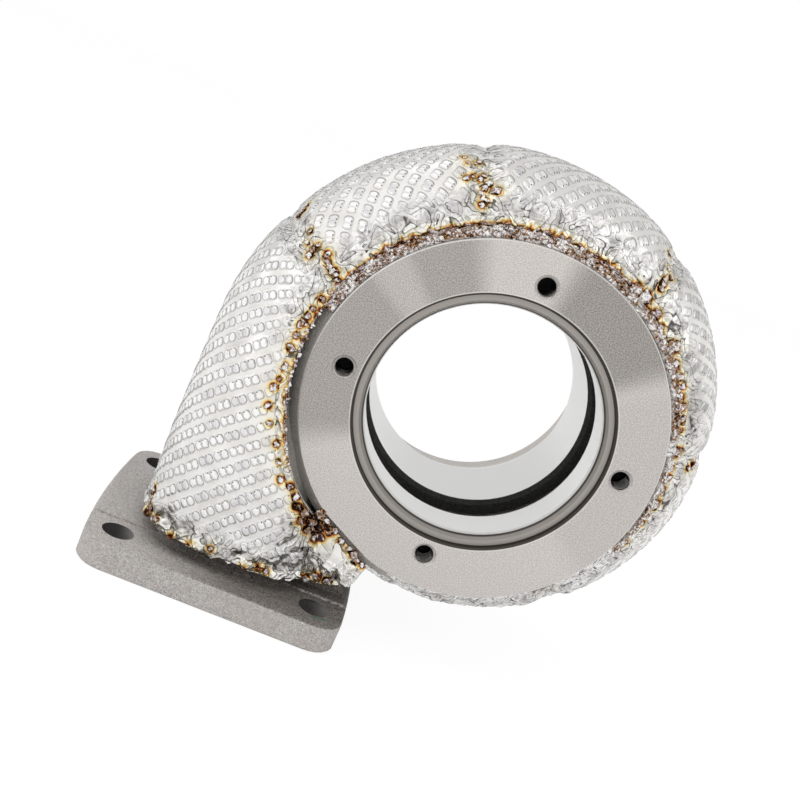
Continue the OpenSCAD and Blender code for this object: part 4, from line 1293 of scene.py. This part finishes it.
class HOUSING_OT_stage(bpy.types.Operator):
    """Set the camera, the lamps, the studio's surroundings and the floor"""
    bl_idname = "housing.stage"
    bl_label = "Camera, lamps and floor"

    def execute(self, context):
        scene = context.scene
        scene.view_settings.view_transform = "Standard"
        self.camera(scene)
        self.lamps(scene)
        self.surroundings(scene)
        self.floor(scene)
        return {"FINISHED"}

    def camera(self, scene):
        """Camera at the photograph's angle."""
        data = bpy.data.cameras.new("camera")
        data.lens, data.sensor_width, data.sensor_fit = LENS, SENSOR, "HORIZONTAL"
        data.clip_start = 0.01
        obj = bpy.data.objects.new("camera", data)
        scene.collection.objects.link(obj)
        turn = Matrix((CAMERA_RIGHT, CAMERA_UP, -CAMERA_AHEAD)).transposed()
        obj.matrix_world = Matrix.Translation(CAMERA_AT) @ turn.to_4x4()
        scene.camera = obj

    def lamps(self, scene):
        """Large lamp above on the left, and a soft one on the right."""
        stage = scene.housing_stage
        for name, power, size, place in (("key_lamp", stage.key_power, stage.key_size, KEY_AT),
                                         ("fill_lamp", stage.fill_power, stage.fill_size, FILL_AT)):
            lamp = bpy.data.lights.new(name, "AREA")
            lamp.energy, lamp.size = power, size
            obj = bpy.data.objects.new(name, lamp)
            obj.location = LAMPS_ROUND + place
            obj.rotation_euler = place.to_track_quat("Z", "Y").to_euler()
            scene.collection.objects.link(obj)

    def surroundings(self, scene):
        """White background, and a studio that the metal mirrors."""
        scene.world = bpy.data.worlds.new("studio")
        scene.world.use_nodes = True
        shop = Shop(scene.world.node_tree)
        seen, gloss, through = shop.outputs(shop.node("ShaderNodeLightPath"), "Is Camera Ray", "Is Glossy Ray",
                                            "Is Transmission Ray")
        ahead = shop.node("ShaderNodeTexCoord", {}, {}, "Generated")
        wall = 0.98 - 0.45 * shop.along(ahead, DIM_WALL).ramp(0.45, 0.95)
        wall = wall * (1.0 - 0.05 * shop.along(ahead, CAMERA_RIGHT).ramp(0.35, 0.90))
        wall = wall * (1.0 - 0.21 * shop.along(ahead, CAMERA_UP).ramp(0.0, 0.5))
        # The lamps let a reflected ray through, so the wall is dark behind them
        for place, edge, middle in ((KEY_AT, 0.77, 0.87), (FILL_AT, 0.90, 0.96)):
            wall = wall * (1.0 - 0.74 * shop.along(ahead, place.normalized()).ramp(edge, middle))
        level = LEVEL + gloss * (wall - LEVEL)
        level = level + (seen + through).clamp() * (1.0 - level)
        back = shop.node("ShaderNodeBackground", {}, {"Color": grey(1.0), "Strength": level})
        shop.node("ShaderNodeOutputWorld", {}, {"Surface": back})

    def floor(self, scene):
        """White floor that keeps the object's shadow, and is dimmer near it where the metal mirrors it."""
        size = scene.housing_stage.floor_size
        corners = [(x * size, y * size, FLOOR_Z) for x, y in ((-1, -1), (1, -1), (1, 1), (-1, 1))]
        mesh = bpy.data.meshes.new("floor")
        mesh.from_pydata(corners, [], [(0, 1, 2, 3)])
        floor = bpy.data.objects.new("floor", mesh)
        scene.collection.objects.link(floor)
        shop = Finish("white_floor")
        seen, gloss = shop.outputs(shop.node("ShaderNodeLightPath"), "Is Camera Ray", "Is Glossy Ray")
        matt = shop.node("ShaderNodeBsdfDiffuse", {}, {"Color": grey(FLOOR_GREY)})
        glow = shop.node("ShaderNodeEmission", {}, {"Color": grey(1.0), "Strength": FLOOR_GLOW})
        x, y, _ = shop.split(shop.place())
        reach = (((x - PATCH_X) * (x - PATCH_X) + y * y) ** 0.5).ramp(PATCH_IN, PATCH_OUT)
        dim = shop.node("ShaderNodeEmission", {}, {"Color": shop.blend(grey(PATCH_GREY), grey(BEYOND_GREY), reach)})
        lit = shop.node("ShaderNodeMixShader", {}, {0: gloss, 1: matt, 2: dim})
        both = shop.node("ShaderNodeMixShader", {}, {0: seen * GLOW_SHARE, 1: lit, 2: glow})
        floor.data.materials.append(shop.surface(both))


STEPS = (HOUSING_OT_casting, HOUSING_OT_threads, HOUSING_OT_mats, HOUSING_OT_foil, HOUSING_OT_hems, HOUSING_OT_welds,
         HOUSING_OT_stage)
GROUPS = {"housing_jacket": HousingJacket, "housing_casting": HousingCasting, "housing_stage": HousingStage}


class HOUSING_PT_panel(bpy.types.Panel):
    """Steps that dress the turbine housing, with their sizes and colours"""
    bl_label = "Turbine housing"
    bl_idname = "HOUSING_PT_panel"
    bl_space_type = "VIEW_3D"
    bl_region_type = "UI"
    bl_category = "Housing"

    def draw(self, context):
        for step in STEPS:
            self.layout.operator(step.bl_idname)
        for name, group in GROUPS.items():
            box = self.layout.box()
            for key in group.__annotations__:
                box.prop(getattr(context.scene, name), key)


CLASSES = tuple(GROUPS.values()) + STEPS + (HOUSING_PT_panel,)


def register():
    for cls in CLASSES:
        bpy.utils.register_class(cls)
    for name, group in GROUPS.items():
        setattr(bpy.types.Scene, name, bpy.props.PointerProperty(type=group))


def unregister():
    for name in GROUPS:
        delattr(bpy.types.Scene, name)
    for cls in reversed(CLASSES):
        bpy.utils.unregister_class(cls)


def main():
    register()
    bpy.ops.housing.casting()
    bpy.ops.housing.threads()
    bpy.ops.housing.mats()
    bpy.ops.housing.foil()
    bpy.ops.housing.hems()
    bpy.ops.housing.welds()
    bpy.ops.housing.stage()


if __name__ == "__main__":
    main()
